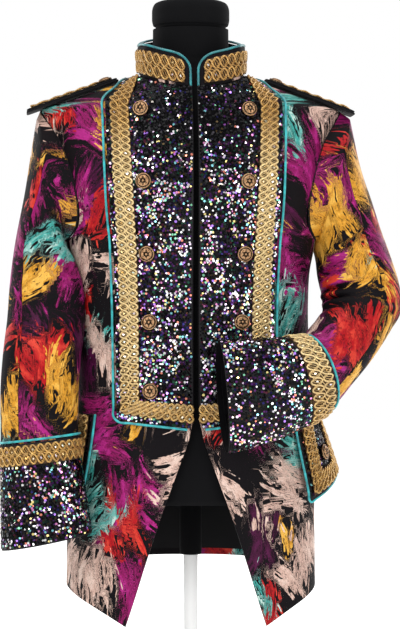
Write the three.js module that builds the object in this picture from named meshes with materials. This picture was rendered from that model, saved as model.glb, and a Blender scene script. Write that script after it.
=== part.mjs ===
// A carnival jacket with sequin fronts and cuffs, gold braid and teal piping, worn by a
// limbless dress form on a low round foot. Millimetres, +Z up. The front faces -Y and the
// wearer's left is +X. The origin is the centre of the foot's underside.
// The left sleeve is bent, with its cuff laid across the front. The right sleeve hangs.

import * as THREE from "three";

// Layers of cloth and trimming, as heights over the inner face of the cloth under them
const clothThickness = 1.6;
const sequinCloth = { lift: 2.5, thickness: 1.1 };
const braid = { lift: 4.9, thickness: 1.8 };
const cuffBraidLift = 4.1;
const liningCloth = { lift: -1.7, thickness: 1.1 };
const pipingRadius = 2.1;
const seamGap = 0.35;

// Heights over the floor
const formBase = 265;
const formNeckTop = 994;

// Collar, sleeves and trimmings
const collar = { thickness: 2.6, seat: 2.2, corner: 22, edge: 5.2 };
const sleeveSetIn = { top: 2.1, armpit: 4.4 };
const sleeveClearance = 5;
const button = { radius: 12, height: 6.8, rim: 2.2, crown: 6.6, crownHeight: 5.8, sides: 9 };
const shank = { radius: 4, height: 1.2 };
const board = { length: 150, inner: 50, outer: 60, corner: 9, layer: 2.6, start: 112 };
const boardSeatHeight = 953.6;
const boardPitch = THREE.MathUtils.degToRad(19.9);
const boardCord = { loops: 5, loopLength: 21, width: 38, height: 3.2, start: 10 };

// Stand
const foot = { radius: 165, thickness: 8, bossRadius: 26, bossHeight: 18 };
const poleRadius = 11;
const socket = { radius: 17, bottom: 182 };
const neckCap = { radius: 60, groove: 54.5, bottom: 999, height: 40 };

// Level sections of the jacket's inner face: half width, depth to the front and to the back,
// and how square the outline is (2 is an ellipse)
const bodySections = [
  { height: 40, halfWidth: 189, front: 140, back: 132, square: 2.4 },
  { height: 125, halfWidth: 189, front: 138, back: 130, square: 2.4 },
  { height: 265, halfWidth: 189, front: 132, back: 125, square: 2.4 },
  { height: 400, halfWidth: 187, front: 126, back: 118, square: 2.4 },
  { height: 480, halfWidth: 183, front: 118, back: 106, square: 2.4 },
  { height: 560, halfWidth: 180, front: 112, back: 98, square: 2.4 },
  { height: 620, halfWidth: 184, front: 116, back: 103, square: 2.4 },
  { height: 668, halfWidth: 190, front: 122, back: 110, square: 2.4 },
  { height: 740, halfWidth: 200, front: 125, back: 120, square: 2.3 },
  { height: 810, halfWidth: 213, front: 119, back: 116, square: 2.05 },
  { height: 867, halfWidth: 229, front: 103, back: 102, square: 1.75 },
  { height: 880, halfWidth: 193, front: 98, back: 97, square: 1.78 },
  { height: 893, halfWidth: 157, front: 92, back: 91, square: 1.82 },
  { height: 907, halfWidth: 118, front: 86, back: 86, square: 1.92 },
  { height: 922, halfWidth: 77, front: 80, back: 79, square: 2 },
  { height: 945, halfWidth: 74, front: 74, back: 70, square: 2 },
];

// Front panel, one row for each level: from the front edge to the side seam, the armhole
// and the shoulder seam. Angles run from the centre front round the torso.
const frontRows = [
  { innerX: 106, innerZ: 85, outerAngle: 94.85, outerZ: 140, bow: 12 },
  { innerX: 95, innerZ: 118, outerAngle: 94.85, outerZ: 166, bow: 8 },
  { innerX: 74, innerZ: 185, outerAngle: 94.85, outerZ: 218, bow: 3 },
  { innerX: 52, innerZ: 252, outerAngle: 94.85, outerZ: 270, bow: 0 },
  { innerX: 28, innerZ: 318, outerAngle: 94.85, outerZ: 325, bow: 0 },
  { innerX: 9, innerZ: 374, outerAngle: 94.85, outerZ: 375, bow: 0 },
  { innerX: 3.5, innerZ: 415, outerAngle: 94.85, outerZ: 415, bow: 0 },
  { innerX: 3.5, innerZ: 485, outerAngle: 94.85, outerZ: 485, bow: 0 },
  { innerX: 3.5, innerZ: 560, outerAngle: 94.85, outerZ: 560, bow: 0 },
  { innerX: 3.5, innerZ: 620, outerAngle: 94.85, outerZ: 618, bow: 0 },
  { innerX: 3.5, innerZ: 668, outerAngle: 94.85, outerZ: 663, bow: 0 },
  { innerX: 3.5, innerZ: 696, outerAngle: 74, outerZ: 671, bow: 0 },
  { innerX: 3.5, innerZ: 728, outerAngle: 62, outerZ: 690, bow: 0 },
  { innerX: 3.5, innerZ: 762, outerAngle: 59.5, outerZ: 717, bow: 0 },
  { innerX: 3.5, innerZ: 798, outerAngle: 61.5, outerZ: 752, bow: 0 },
  { innerX: 3.5, innerZ: 832, outerAngle: 65, outerZ: 787, bow: 0 },
  { innerX: 3.5, innerZ: 862, outerAngle: 69.5, outerZ: 818, bow: 0 },
  { innerX: 3.5, innerZ: 884, outerAngle: 74, outerZ: 838, bow: 0 },
  { innerX: 3.5, innerZ: 897, outerAngle: 79, outerZ: 852, bow: 0 },
  { innerX: 26, innerZ: 898.5, outerAngle: 83.5, outerZ: 860, bow: 0 },
  { innerX: 48, innerZ: 902.5, outerAngle: 86.5, outerZ: 864, bow: 0 },
  { innerX: 66, innerZ: 909.5, outerAngle: 88.3, outerZ: 866, bow: 0 },
  { innerX: 74.5, innerZ: 916, outerAngle: 89.2, outerZ: 866.8, bow: 0 },
  { innerX: 77, innerZ: 922, outerAngle: 89.7, outerZ: 867, bow: 0 },
];

// Back panel in the same form, with angles from the centre back and a short vent at the hem
const backRows = [
  { innerX: 3, innerZ: 169, outerAngle: 85, outerZ: 140, bow: 8 },
  { innerX: 2, innerZ: 205, outerAngle: 85, outerZ: 184, bow: 5 },
  { innerX: 0.6, innerZ: 262, outerAngle: 85, outerZ: 250, bow: 0 },
  { innerX: 0.4, innerZ: 335, outerAngle: 85, outerZ: 330, bow: 0 },
  { innerX: 0.4, innerZ: 415, outerAngle: 85, outerZ: 415, bow: 0 },
  { innerX: 0.4, innerZ: 485, outerAngle: 85, outerZ: 485, bow: 0 },
  { innerX: 0.4, innerZ: 560, outerAngle: 85, outerZ: 560, bow: 0 },
  { innerX: 0.4, innerZ: 622, outerAngle: 85, outerZ: 618, bow: 0 },
  { innerX: 0.4, innerZ: 672, outerAngle: 85, outerZ: 663, bow: 0 },
  { innerX: 0.4, innerZ: 706, outerAngle: 72, outerZ: 673, bow: 0 },
  { innerX: 0.4, innerZ: 744, outerAngle: 62, outerZ: 695, bow: 0 },
  { innerX: 0.4, innerZ: 784, outerAngle: 61, outerZ: 722, bow: 0 },
  { innerX: 0.4, innerZ: 822, outerAngle: 63, outerZ: 757, bow: 0 },
  { innerX: 0.4, innerZ: 860, outerAngle: 66, outerZ: 792, bow: 0 },
  { innerX: 0.4, innerZ: 895, outerAngle: 70, outerZ: 822, bow: 0 },
  { innerX: 0.4, innerZ: 922, outerAngle: 75, outerZ: 843, bow: 0 },
  { innerX: 0.4, innerZ: 940, outerAngle: 80, outerZ: 854, bow: 0 },
  { innerX: 26, innerZ: 939, outerAngle: 84, outerZ: 861, bow: 0 },
  { innerX: 48, innerZ: 936, outerAngle: 87, outerZ: 865, bow: 0 },
  { innerX: 66, innerZ: 931, outerAngle: 88.6, outerZ: 866.4, bow: 0 },
  { innerX: 74, innerZ: 926.5, outerAngle: 89.3, outerZ: 866.9, bow: 0 },
  { innerX: 77, innerZ: 922, outerAngle: 89.7, outerZ: 867, bow: 0 },
];

// The row of each table where the armhole starts, and where the neckline starts. The sleeve
// leaves out a few of the armhole's points, counted from the shoulder seam, and its two
// pieces meet at one of the rest.
const frontArmpitRow = 10;
const frontNeckRow = 18;
const backArmpitRow = 8;
const backNeckRow = 16;
const armholeSkips = [1, 3];
const sleeveSeamPoint = 6;

// Sequin front at rows of the front panel: how far its outer edge lies from the centre line,
// and how far its inner edge is set in from the panel's, as a share of the panel
const sequinFrontRows = [
  { row: 5, edgeX: 117, inset: 0.003 },
  { row: 6, edgeX: 117.5, inset: 0.003 },
  { row: 8, edgeX: 119, inset: 0.003 },
  { row: 10, edgeX: 123, inset: 0.003 },
  { row: 13, edgeX: 129, inset: 0.003 },
  { row: 16, edgeX: 133, inset: 0.003 },
  { row: 18, edgeX: 134, inset: 0.006 },
  { row: 19, edgeX: 130, inset: 0.012 },
  { row: 20, edgeX: 120, inset: 0.02 },
  { row: 21, edgeX: 109, inset: 0.035 },
  { row: 23, edgeX: 97, inset: 0.04 },
];
const sequinFrontHem = { centreRow: 5.2, cornerRow: 5.55 };

// Gold braid round the sequin front: its outer and inner edge from the shoulder seam down
// the front and along the bottom to the centre
const frontBraidRows = [
  { outerX: 93, outerZ: 908, innerX: 81, innerZ: 914, steps: 6 },
  { outerX: 128, outerZ: 877, innerX: 98, innerZ: 868, steps: 7 },
  { outerX: 124, outerZ: 778, innerX: 94, innerZ: 778, steps: 6 },
  { outerX: 116, outerZ: 645, innerX: 86, innerZ: 645, steps: 5 },
  { outerX: 113, outerZ: 545, innerX: 83, innerZ: 545, steps: 6 },
  { outerX: 112.5, outerZ: 403, innerX: 83, innerZ: 424, steps: 4 },
  { outerX: 4.5, outerZ: 388, innerX: 4.5, innerZ: 418, steps: 0 },
];

// Sleeve rings under the armhole: the side next to the body, the side away from it, how far
// the cloth stands in front of and behind the two, and which way round that depth is turned
const hangingSleeveRows = [
  { nearX: 191, nearY: -2, nearZ: 657, farX: 237, farY: 0, farZ: 852, depth: 67, turn: 0 },
  { nearX: 190, nearY: -10, nearZ: 647, farX: 247, farY: 2, farZ: 790, depth: 67, turn: 0 },
  { nearX: 176, nearY: -34, nearZ: 630, farX: 258, farY: 0, farZ: 715, depth: 63, turn: 0 },
  { nearX: 170, nearY: -54, nearZ: 610, farX: 268, farY: -14, farZ: 642, depth: 58, turn: 0 },
  { nearX: 167, nearY: -66, nearZ: 570, farX: 276, farY: -30, farZ: 587, depth: 54, turn: 0 },
  { nearX: 167, nearY: -72, nearZ: 535, farX: 281, farY: -44, farZ: 546, depth: 51, turn: 0 },
  { nearX: 174, nearY: -82, nearZ: 485, farX: 287, farY: -62, farZ: 495, depth: 48, turn: 0 },
  { nearX: 178, nearY: -92, nearZ: 428, farX: 291, farY: -73, farZ: 422, depth: 46, turn: 0 },
  { nearX: 178, nearY: -104, nearZ: 371, farX: 291, farY: -88, farZ: 356, depth: 46, turn: 0 },
  { nearX: 176, nearY: -109, nearZ: 336, farX: 289, farY: -93, farZ: 322, depth: 46, turn: 0 },
  { nearX: 160, nearY: -122, nearZ: 226, farX: 287, farY: -106, farZ: 200, depth: 49, turn: 0 },
];

const bentSleeveRows = [
  { nearX: 191, nearY: -2, nearZ: 657, farX: 246, farY: 0, farZ: 857, depth: 68, turn: 0 },
  { nearX: 194, nearY: -4, nearZ: 646, farX: 262, farY: -2, farZ: 784, depth: 68, turn: 0 },
  { nearX: 197, nearY: -10, nearZ: 630, farX: 278, farY: -6, farZ: 731, depth: 64, turn: 0 },
  { nearX: 198, nearY: -16, nearZ: 612, farX: 292, farY: -12, farZ: 686, depth: 60, turn: 2 },
  { nearX: 199, nearY: -26, nearZ: 596, farX: 306, farY: -22, farZ: 647, depth: 57, turn: 5 },
  { nearX: 200, nearY: -38, nearZ: 584, farX: 317, farY: -30, farZ: 605, depth: 55, turn: 9 },
  { nearX: 201, nearY: -52, nearZ: 575, farX: 320, farY: -38, farZ: 575, depth: 53, turn: 14 },
  { nearX: 201, nearY: -68, nearZ: 567, farX: 317, farY: -46, farZ: 552, depth: 52, turn: 18 },
  { nearX: 198, nearY: -88, nearZ: 559, farX: 298, farY: -62, farZ: 525, depth: 50, turn: 24 },
  { nearX: 192, nearY: -108, nearZ: 549, farX: 263, farY: -86, farZ: 482, depth: 48, turn: 28 },
  { nearX: 179, nearY: -126, nearZ: 536, farX: 230, farY: -110, farZ: 446, depth: 46, turn: 28 },
  { nearX: 162, nearY: -142, nearZ: 518, farX: 195, farY: -133, farZ: 410, depth: 45, turn: 26 },
  { nearX: 130, nearY: -159, nearZ: 515, farX: 159, farY: -153, farZ: 389, depth: 42, turn: 21 },
  { nearX: 78, nearY: -177, nearZ: 513, farX: 100, farY: -174, farZ: 366, depth: 34, turn: 14 },
  { nearX: 29, nearY: -184, nearZ: 512, farX: 41, farY: -183, farZ: 351, depth: 27, turn: 10 },
];

// The longest creases: where along the sleeve's rings, where round it (0 far side, 0.25 front,
// 0.5 next to the body), their depth, half length round the sleeve, half width along it, and
// how far they slant along the sleeve
const bentSleeveCreases = [
  { ring: 6.0, around: 0.4, depth: 7, half: 0.17, width: 0.45, slant: -2.4 },
  { ring: 7.3, around: 0.42, depth: 8, half: 0.15, width: 0.5, slant: -0.6 },
  { ring: 8.7, around: 0.42, depth: 6, half: 0.16, width: 0.5, slant: 1.4 },
  { ring: 4.6, around: 0.36, depth: 4, half: 0.14, width: 0.5, slant: -2.2 },
  { ring: 10.3, around: 0.34, depth: 3, half: 0.13, width: 0.5, slant: 1.2 },
  { ring: 6.8, around: 0.62, depth: 6, half: 0.12, width: 0.5, slant: 1.0 },
];
const hangingSleeveCreases = [
  { ring: 5.3, around: 0.36, depth: 4.5, half: 0.16, width: 0.35, slant: -0.9 },
  { ring: 6.1, around: 0.42, depth: 3.5, half: 0.13, width: 0.35, slant: -0.5 },
  { ring: 3.2, around: 0.3, depth: 3, half: 0.14, width: 0.5, slant: -1.2 },
  { ring: 6.6, around: 0.72, depth: 3, half: 0.14, width: 0.4, slant: 0.7 },
];

// Rings where the cuff starts, where its braid ends, and the sleeve's last ring, with the
// armhole as ring 0
const hangingCuff = { start: 9, braidEnd: 10, end: 11, clearance: 22 };
const bentCuff = { start: 12, braidEnd: 13, end: 15, clearance: 16 };

// Pocket flap over the hip: its two end edges from the top down, as angles round the torso,
// heights and how far it stands off
const flapRows = [
  { frontAngle: 49, frontZ: 402, frontOff: 0, backAngle: 96, backZ: 408, backOff: 0 },
  { frontAngle: 50.5, frontZ: 372, frontOff: 2, backAngle: 95, backZ: 384, backOff: 9 },
  { frontAngle: 53, frontZ: 336, frontOff: 5, backAngle: 94, backZ: 358, backOff: 19 },
  { frontAngle: 56, frontZ: 300, frontOff: 8, backAngle: 93, backZ: 332, backOff: 28 },
  { frontAngle: 58, frontZ: 266, frontOff: 11, backAngle: 92, backZ: 306, backOff: 36 },
];
const flapSeat = 2.3;
const flapFlare = { left: 1, right: 0.2 };

// Braid round a flap's three free edges, as shares across the flap and down it
const flapBraidRows = [
  { outerU: 0.07, outerV: 0.02, innerU: 0.33, innerV: 0.02, steps: 5 },
  { outerU: 0.07, outerV: 0.95, innerU: 0.33, innerV: 0.7, steps: 4 },
  { outerU: 0.93, outerV: 0.95, innerU: 0.67, innerV: 0.7, steps: 5 },
  { outerU: 0.93, outerV: 0.02, innerU: 0.67, innerV: 0.02, steps: 0 },
];
const flapPipingLift = 1.9;
const flapButton = { across: 0.5, down: 0.55 };

const frontButtons = [
  { x: 81, z: 862 },
  { x: 78, z: 753 },
  { x: 73, z: 645 },
  { x: 69, z: 541 },
  { x: 68, z: 437 },
];

// Collar: height of its top edge over the neckline, from the centre front to the centre back,
// and how far it leans in at the front and back and out at the sides by that height
const collarHeights = [
  { share: 0, rise: 45 },
  { share: 0.2, rise: 49 },
  { share: 0.52, rise: 42 },
  { share: 1, rise: 45 },
];
const collarLean = { depth: -0.095, width: 0.035 };
const collarBraid = { bottom: 0.14, top: 0.9, edge: 5 };

// Dress form: how much narrower it is than the jacket at the sides, the front and the back
const formRings = [
  { height: formBase + seamGap, side: 18, front: 17, back: 17 },
  { height: 274, side: 12, front: 11, back: 11 },
  { height: 400, side: 10, front: 9, back: 10 },
  { height: 480, side: 10, front: 9, back: 9 },
  { height: 560, side: 11, front: 9, back: 9 },
  { height: 620, side: 11, front: 9, back: 9 },
  { height: 680, side: 11, front: 9, back: 9 },
  { height: 740, side: 12, front: 9, back: 9 },
  { height: 800, side: 17, front: 8, back: 8 },
  { height: 845, side: 23, front: 7, back: 7 },
  { height: 866, side: 24, front: 6, back: 6 },
  { height: 874, side: 9, front: 6, back: 6 },
  { height: 880, side: 3.5, front: 6, back: 6 },
  { height: 893, side: 2.8, front: 6, back: 6 },
  { height: 907, side: 3.8, front: 7, back: 7 },
  { height: 914, side: 4.4, front: 8, back: 8 },
  { height: 922, side: 7, front: 11, back: 12 },
  { height: 932, side: 13, front: 15, back: 13 },
  { height: 945, side: 15, front: 15, back: 11 },
  { height: formNeckTop, side: 15.5, front: 15.5, back: 11.5 },
];

// Materials, with the colours of the cloth and the metal
const finish = {
  brocade: { color: "#4a2a4c", roughness: 0.55, metalness: 0 },
  sequins: { color: "#1d1a24", roughness: 0.25, metalness: 0.6 },
  goldBraid: { color: "#c9a24a", roughness: 0.35, metalness: 0.8 },
  tealCord: { color: "#1fa8a6", roughness: 0.4, metalness: 0 },
  lining: { color: "#0c0c0e", roughness: 0.6, metalness: 0 },
  boardCloth: { color: "#101012", roughness: 0.7, metalness: 0 },
  buttonMetal: { color: "#9c7448", roughness: 0.4, metalness: 0.9 },
  formCloth: { color: "#0a0a0b", roughness: 0.8, metalness: 0 },
  whiteSteel: { color: "#e9e9e6", roughness: 0.35, metalness: 0 },
};

const jacket = new THREE.Group();

function add(name, geometry, look, parent = jacket) {
  const mesh = new THREE.Mesh(geometry, new THREE.MeshStandardMaterial(finish[look]));
  mesh.name = name;
  parent.add(mesh);
  return mesh;
}

const lerp = THREE.MathUtils.lerp;
const vector = (x, y, z) => new THREE.Vector3(x, y, z);
const sidePrefix = { 1: "left", "-1": "right" };

// A smooth curve through one column of a table that never overshoots its rows
function tableCurve(rows, value, key) {
  const at = rows.map((row, i) => (key ? row[key] : i));
  const level = rows.map((row) => row[value]);
  const rise = at.slice(1).map((next, i) => (level[i + 1] - level[i]) / (next - at[i]));
  const slope = level.map((unused, i) => {
    const before = rise[i - 1] ?? rise[i];
    const after = rise[i] ?? rise[i - 1];
    return before * after <= 0 ? 0 : (2 * before * after) / (before + after);
  });
  return (x) => {
    const clamped = Math.min(Math.max(x, at[0]), at[at.length - 1]);
    let i = 0;
    while (i < at.length - 2 && clamped > at[i + 1]) i += 1;
    const span = at[i + 1] - at[i];
    const t = (clamped - at[i]) / span;
    const start = level[i] * (1 + 2 * t) * (1 - t) ** 2 + slope[i] * span * t * (1 - t) ** 2;
    const end = level[i + 1] * t * t * (3 - 2 * t) + slope[i + 1] * span * t * t * (t - 1);
    return start + end;
  };
}

const bodyCurve = {};
for (const column of ["halfWidth", "front", "back", "square"]) {
  bodyCurve[column] = tableCurve(bodySections, column, "height");
}

// A point of the jacket's inner face: the angle runs from the centre front to the centre back
function torso(angle, height) {
  const turn = THREE.MathUtils.degToRad(angle);
  const power = 2 / bodyCurve.square(height);
  const depth = angle < 90 ? bodyCurve.front(height) : bodyCurve.back(height);
  const x = bodyCurve.halfWidth(height) * Math.abs(Math.sin(turn)) ** power;
  const y = depth * Math.abs(Math.cos(turn)) ** power;
  return vector(x, angle < 90 ? -y : y, height);
}

// The angle, from the centre front or back, of a point that far from the centre line
function angleOf(x, height) {
  const share = Math.min(1, x / bodyCurve.halfWidth(height));
  const turn = Math.asin(share ** (bodyCurve.square(height) / 2));
  return Math.min(89.6, THREE.MathUtils.radToDeg(turn));
}

// Evenly spaced values from one number to another
function spread(from, to, count) {
  return Array.from({ length: count + 1 }, (unused, i) => lerp(from, to, i / count));
}

// Straight lines between the corners of a table, and each row's own count of steps to the next
function cornerLine(rows, column) {
  return (row) => {
    const i = Math.min(Math.floor(row), rows.length - 2);
    return lerp(rows[i][column], rows[i + 1][column], row - i);
  };
}

function cornerSteps(rows) {
  const last = rows.length - 1;
  return rows.flatMap((row, i) => (i < last ? spread(i, i + 1, row.steps).slice(0, -1) : [i]));
}

// A surface's unit normal. A surface that wraps round has no first or last column.
function normalOf(surface, u, v, limits, wraps) {
  const step = 0.004;
  const left = surface(wraps ? u - step : Math.max(limits.u0, u - step), v);
  const right = surface(wraps ? u + step : Math.min(limits.u1, u + step), v);
  const below = surface(u, Math.max(limits.v0, v - step));
  const above = surface(u, Math.min(limits.v1, v + step));
  return right.sub(left).cross(above.sub(below)).normalize();
}

// Closed geometry between an inner and an outer grid of points. A ring grid joins its last
// column to its first and stays open at its two ends.
function shellGeometry(inner, outer, columns, rows, ring) {
  const count = columns * rows;
  const index = [];
  const quad = (a, b, c, d) => index.push(a, b, c, a, c, d);
  const steps = ring ? columns : columns - 1;
  const at = (row, column) => row * columns + (column % columns);
  for (let row = 0; row < rows - 1; row += 1) {
    for (let column = 0; column < steps; column += 1) {
      const a = at(row, column);
      const b = at(row, column + 1);
      const c = at(row + 1, column + 1);
      const d = at(row + 1, column);
      quad(a + count, b + count, c + count, d + count);
      index.push(a, c, b, a, d, c);
    }
  }
  for (let column = 0; column < steps; column += 1) {
    const [a, b] = [at(0, column), at(0, column + 1)];
    quad(a, b, b + count, a + count);
    const [c, d] = [at(rows - 1, column), at(rows - 1, column + 1)];
    quad(d, c, c + count, d + count);
  }
  for (let row = 0; !ring && row < rows - 1; row += 1) {
    const [a, b] = [at(row, 0), at(row + 1, 0)];
    quad(b, a, a + count, b + count);
    const [c, d] = [at(row, columns - 1), at(row + 1, columns - 1)];
    quad(c, d, d + count, c + count);
  }
  const points = [...inner, ...outer];
  let volume = 0;
  for (let i = 0; i < index.length; i += 3) {
    const [a, b, c] = [points[index[i]], points[index[i + 1]], points[index[i + 2]]];
    volume += a.dot(b.clone().cross(c));
  }
  if (volume < 0) index.reverse();
  const geometry = new THREE.BufferGeometry().setFromPoints(points);
  geometry.setIndex(index);
  geometry.computeVertexNormals();
  return geometry;
}

// A wall of cloth over a surface, raised off it and as thick as told. The centre is a point
// behind the surface, so that the wall is raised away from it.
function clothWall(surface, across, along, layer) {
  const { lift, thickness, centre, wraps = false, ring = false, raise = () => 0 } = layer;
  const limits = {
    u0: across[0],
    u1: across[across.length - 1],
    v0: along[0],
    v1: along[along.length - 1],
  };
  const middle = [across[Math.floor(across.length / 2)], along[Math.floor(along.length / 2)]];
  const outwards = surface(...middle).sub(centre(middle[1]));
  const facing = Math.sign(normalOf(surface, ...middle, limits, wraps).dot(outwards));
  const inner = [];
  const outer = [];
  for (const v of along) {
    for (const u of across) {
      const normal = normalOf(surface, u, v, limits, wraps).multiplyScalar(facing);
      inner.push(surface(u, v).addScaledVector(normal, lift));
      outer.push(surface(u, v).addScaledVector(normal, lift + thickness + raise(u, v)));
    }
  }
  return shellGeometry(inner, outer, across.length, along.length, ring);
}

// A round cord along a line of points
function cord(points, radius, steps, sides = 6) {
  const section = new THREE.Shape().absarc(0, 0, radius, 0, 2 * Math.PI, false);
  return new THREE.ExtrudeGeometry(section, {
    steps,
    curveSegments: sides / 2,
    bevelEnabled: false,
    extrudePath: new THREE.CatmullRomCurve3(points, false, "centripetal"),
  });
}

const bodyCentre = () => vector(0, 0, 500);

// A panel of the torso from its table: across from the inner edge, along from row to row
function panelCurves(rows) {
  const columns = ["innerX", "innerZ", "outerAngle", "outerZ", "bow"];
  return Object.fromEntries(columns.map((column) => [column, tableCurve(rows, column)]));
}

const frontCurves = panelCurves(frontRows);
const backCurves = panelCurves(backRows);

function panelHeight(curves, across, row) {
  const bow = curves.bow(row) * 4 * across * (1 - across);
  return lerp(curves.innerZ(row), curves.outerZ(row), across) + bow;
}

function panelPoint(curves, across, row, side, isBack) {
  const innerAngle = angleOf(curves.innerX(row), curves.innerZ(row));
  const angle = lerp(innerAngle, curves.outerAngle(row), across);
  const point = torso(isBack ? 180 - angle : angle, panelHeight(curves, across, row));
  point.x *= side;
  return point;
}

// A point of the front at that distance from the centre line and that height, raised by so much
function frontPoint(x, height, side, lift = 0) {
  let level = height;
  while (bodyCurve.halfWidth(level) < x * 1.004) level -= 0.5;
  const limits = { u0: 0, u1: 1, v0: 0, v1: 2000 };
  const surface = (u, v) => torso(angleOf(x, level) + u, v);
  const point = surface(0, level).addScaledVector(normalOf(surface, 0, level, limits, true), lift);
  point.x *= side;
  return point;
}

const panelColumns = spread(0, 1, 7);

// Whole rows of a panel, with half rows round the waist, up to the armpit
function panelRows(from, to, armpitRow) {
  const halves = spread(armpitRow - 4.5, armpitRow - 0.5, 4);
  return [...spread(from, to, to - from), ...halves].sort((a, b) => a - b);
}

function addBody(side) {
  const name = sidePrefix[side];
  const layer = { lift: 0, thickness: clothThickness, centre: bodyCentre };
  const front = (across, row) => panelPoint(frontCurves, across, row, side, false);
  const back = (across, row) => panelPoint(backCurves, across, row, side, true);
  const frontPlaces = panelRows(0, frontRows.length - 1, frontArmpitRow);
  const backPlaces = spread(0, backRows.length - 1, backRows.length - 1);
  add(`front_${name}`, clothWall(front, panelColumns, frontPlaces, layer), "brocade");
  add(`back_${name}`, clothWall(back, panelColumns, backPlaces, layer), "brocade");
}

// The lining that shows inside the back of the skirt, from side seam to side seam
function addLining() {
  const surface = (across, row) =>
    panelPoint(backCurves, Math.abs(across), row, Math.sign(across), true);
  const halves = panelColumns.slice(1);
  const places = [...halves.map((share) => -share).reverse(), 0, ...halves];
  const layer = { ...liningCloth, centre: bodyCentre };
  add("lining_back", clothWall(surface, places, [0.3, 1, 2, 3, 3.6], layer), "lining");
}

const sequinEdgeX = tableCurve(sequinFrontRows, "edgeX", "row");
const sequinInset = tableCurve(sequinFrontRows, "inset", "row");

// The share across a row of the front panel at which it is that far from the centre line
function shareAt(x, row) {
  let [low, high] = [0, 1];
  for (let pass = 0; pass < 24; pass += 1) {
    const middle = (low + high) / 2;
    if (panelPoint(frontCurves, middle, row, 1, false).x < x) low = middle;
    else high = middle;
  }
  return (low + high) / 2;
}

function addSequinFront(side) {
  const surface = (across, row) => {
    const { centreRow, cornerRow } = sequinFrontHem;
    const hemRow = lerp(centreRow, cornerRow, across);
    const level = row < 6 ? lerp(hemRow, 6, (row - centreRow) / (6 - centreRow)) : row;
    const share = lerp(sequinInset(level), shareAt(sequinEdgeX(level), level), across);
    return panelPoint(frontCurves, share, level, side, false);
  };
  const last = frontRows.length - 1;
  const whole = panelRows(6, last, frontArmpitRow).filter((row) => row >= 6);
  const rows = [sequinFrontHem.centreRow, ...whole, 18.5, 19.5].sort((a, b) => a - b);
  const layer = { ...sequinCloth, centre: bodyCentre };
  add(`sequin_front_${sidePrefix[side]}`, clothWall(surface, spread(0, 1, 5), rows, layer), "sequins");
}

function addFrontBraid(side) {
  const columns = ["outerX", "outerZ", "innerX", "innerZ"];
  const edge = Object.fromEntries(columns.map((name) => [name, cornerLine(frontBraidRows, name)]));
  const surface = (across, row) => {
    const x = lerp(edge.outerX(row), edge.innerX(row), across);
    return frontPoint(x, lerp(edge.outerZ(row), edge.innerZ(row), across), side);
  };
  const layer = { ...braid, centre: bodyCentre };
  const wall = clothWall(surface, [0, 0.5, 1], cornerSteps(frontBraidRows), layer);
  add(`braid_front_${sidePrefix[side]}`, wall, "goldBraid");
}

// A line in the front's own x and z, moved sideways by a distance
function movedLine(points, distance) {
  return points.map(([x, z], i) => {
    const [x0, z0] = points[Math.max(0, i - 1)];
    const [x1, z1] = points[Math.min(points.length - 1, i + 1)];
    const before = Math.atan2(z - z0, x - x0);
    const after = Math.atan2(z1 - z, x1 - x);
    const first = i === 0 ? after : before;
    const second = i === points.length - 1 ? before : after;
    const middle = (first + second) / 2 + Math.PI / 2;
    const reach = distance / Math.cos((second - first) / 2);
    return [x + reach * Math.cos(middle), z + reach * Math.sin(middle)];
  });
}

function addFrontPiping(side) {
  const { centreRow, cornerRow } = sequinFrontHem;
  const sideRows = [...spread(23, 7, 16), cornerRow];
  const edge = sideRows.map((row) => {
    const x = sequinEdgeX(row);
    return [x, panelHeight(frontCurves, shareAt(x, row), row)];
  });
  const [cornerX, cornerZ] = edge[edge.length - 1];
  const centreZ = frontCurves.innerZ(centreRow);
  const hem = spread(0.15, 0.95, 5).map((t) => [lerp(cornerX, 0, t), lerp(cornerZ, centreZ, t)]);
  const lift = clothThickness + pipingRadius + 4 * seamGap;
  const line = movedLine([...edge, ...hem], pipingRadius + 5.5 * seamGap);
  const points = line.map(([x, z]) => frontPoint(x, z, side, lift));
  add(`piping_front_${sidePrefix[side]}`, cord(points, pipingRadius, 32), "tealCord");
}

// The neckline on one side, from the centre front to the centre back
function necklineCurve() {
  const front = frontRows.slice(frontNeckRow);
  const back = backRows.slice(backNeckRow, -1).reverse();
  const point = (row, isBack) => {
    const angle = angleOf(row.innerX, row.innerZ);
    return torso(isBack ? 180 - angle : angle, row.innerZ);
  };
  const points = [...front.map((row) => point(row, false)), ...back.map((row) => point(row, true))];
  return new THREE.CatmullRomCurve3(points, false, "centripetal");
}

const neckline = necklineCurve();
const collarSpan = neckline.getLength() - collar.edge;
const collarRise = tableCurve(collarHeights, "rise", "share");

// A point of the collar's inner face, so far from its front edge and so high over the neckline
function collarAt(side, fromEdge, height, lift = 0) {
  const share = Math.min(1, (collar.edge + fromEdge) / (collarSpan + collar.edge));
  const point = neckline.getPointAt(share);
  const tangent = neckline.getTangentAt(share);
  const outwards = vector(tangent.y, -tangent.x, 0).normalize();
  const steepness = height / collarRise(share);
  point.x *= 1 + collarLean.width * steepness;
  point.y *= 1 + collarLean.depth * steepness;
  point.z += collar.seat + height;
  point.addScaledVector(outwards, lift);
  point.x *= side;
  return point;
}

// The collar's height at that distance from its front edge, where its corner is rounded
function collarTop(fromEdge) {
  const rise = collarRise(fromEdge / collarSpan);
  if (fromEdge >= collar.corner) return rise;
  const drop = collar.corner - Math.sqrt(collar.corner ** 2 - (collar.corner - fromEdge) ** 2);
  return rise - drop;
}

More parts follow.
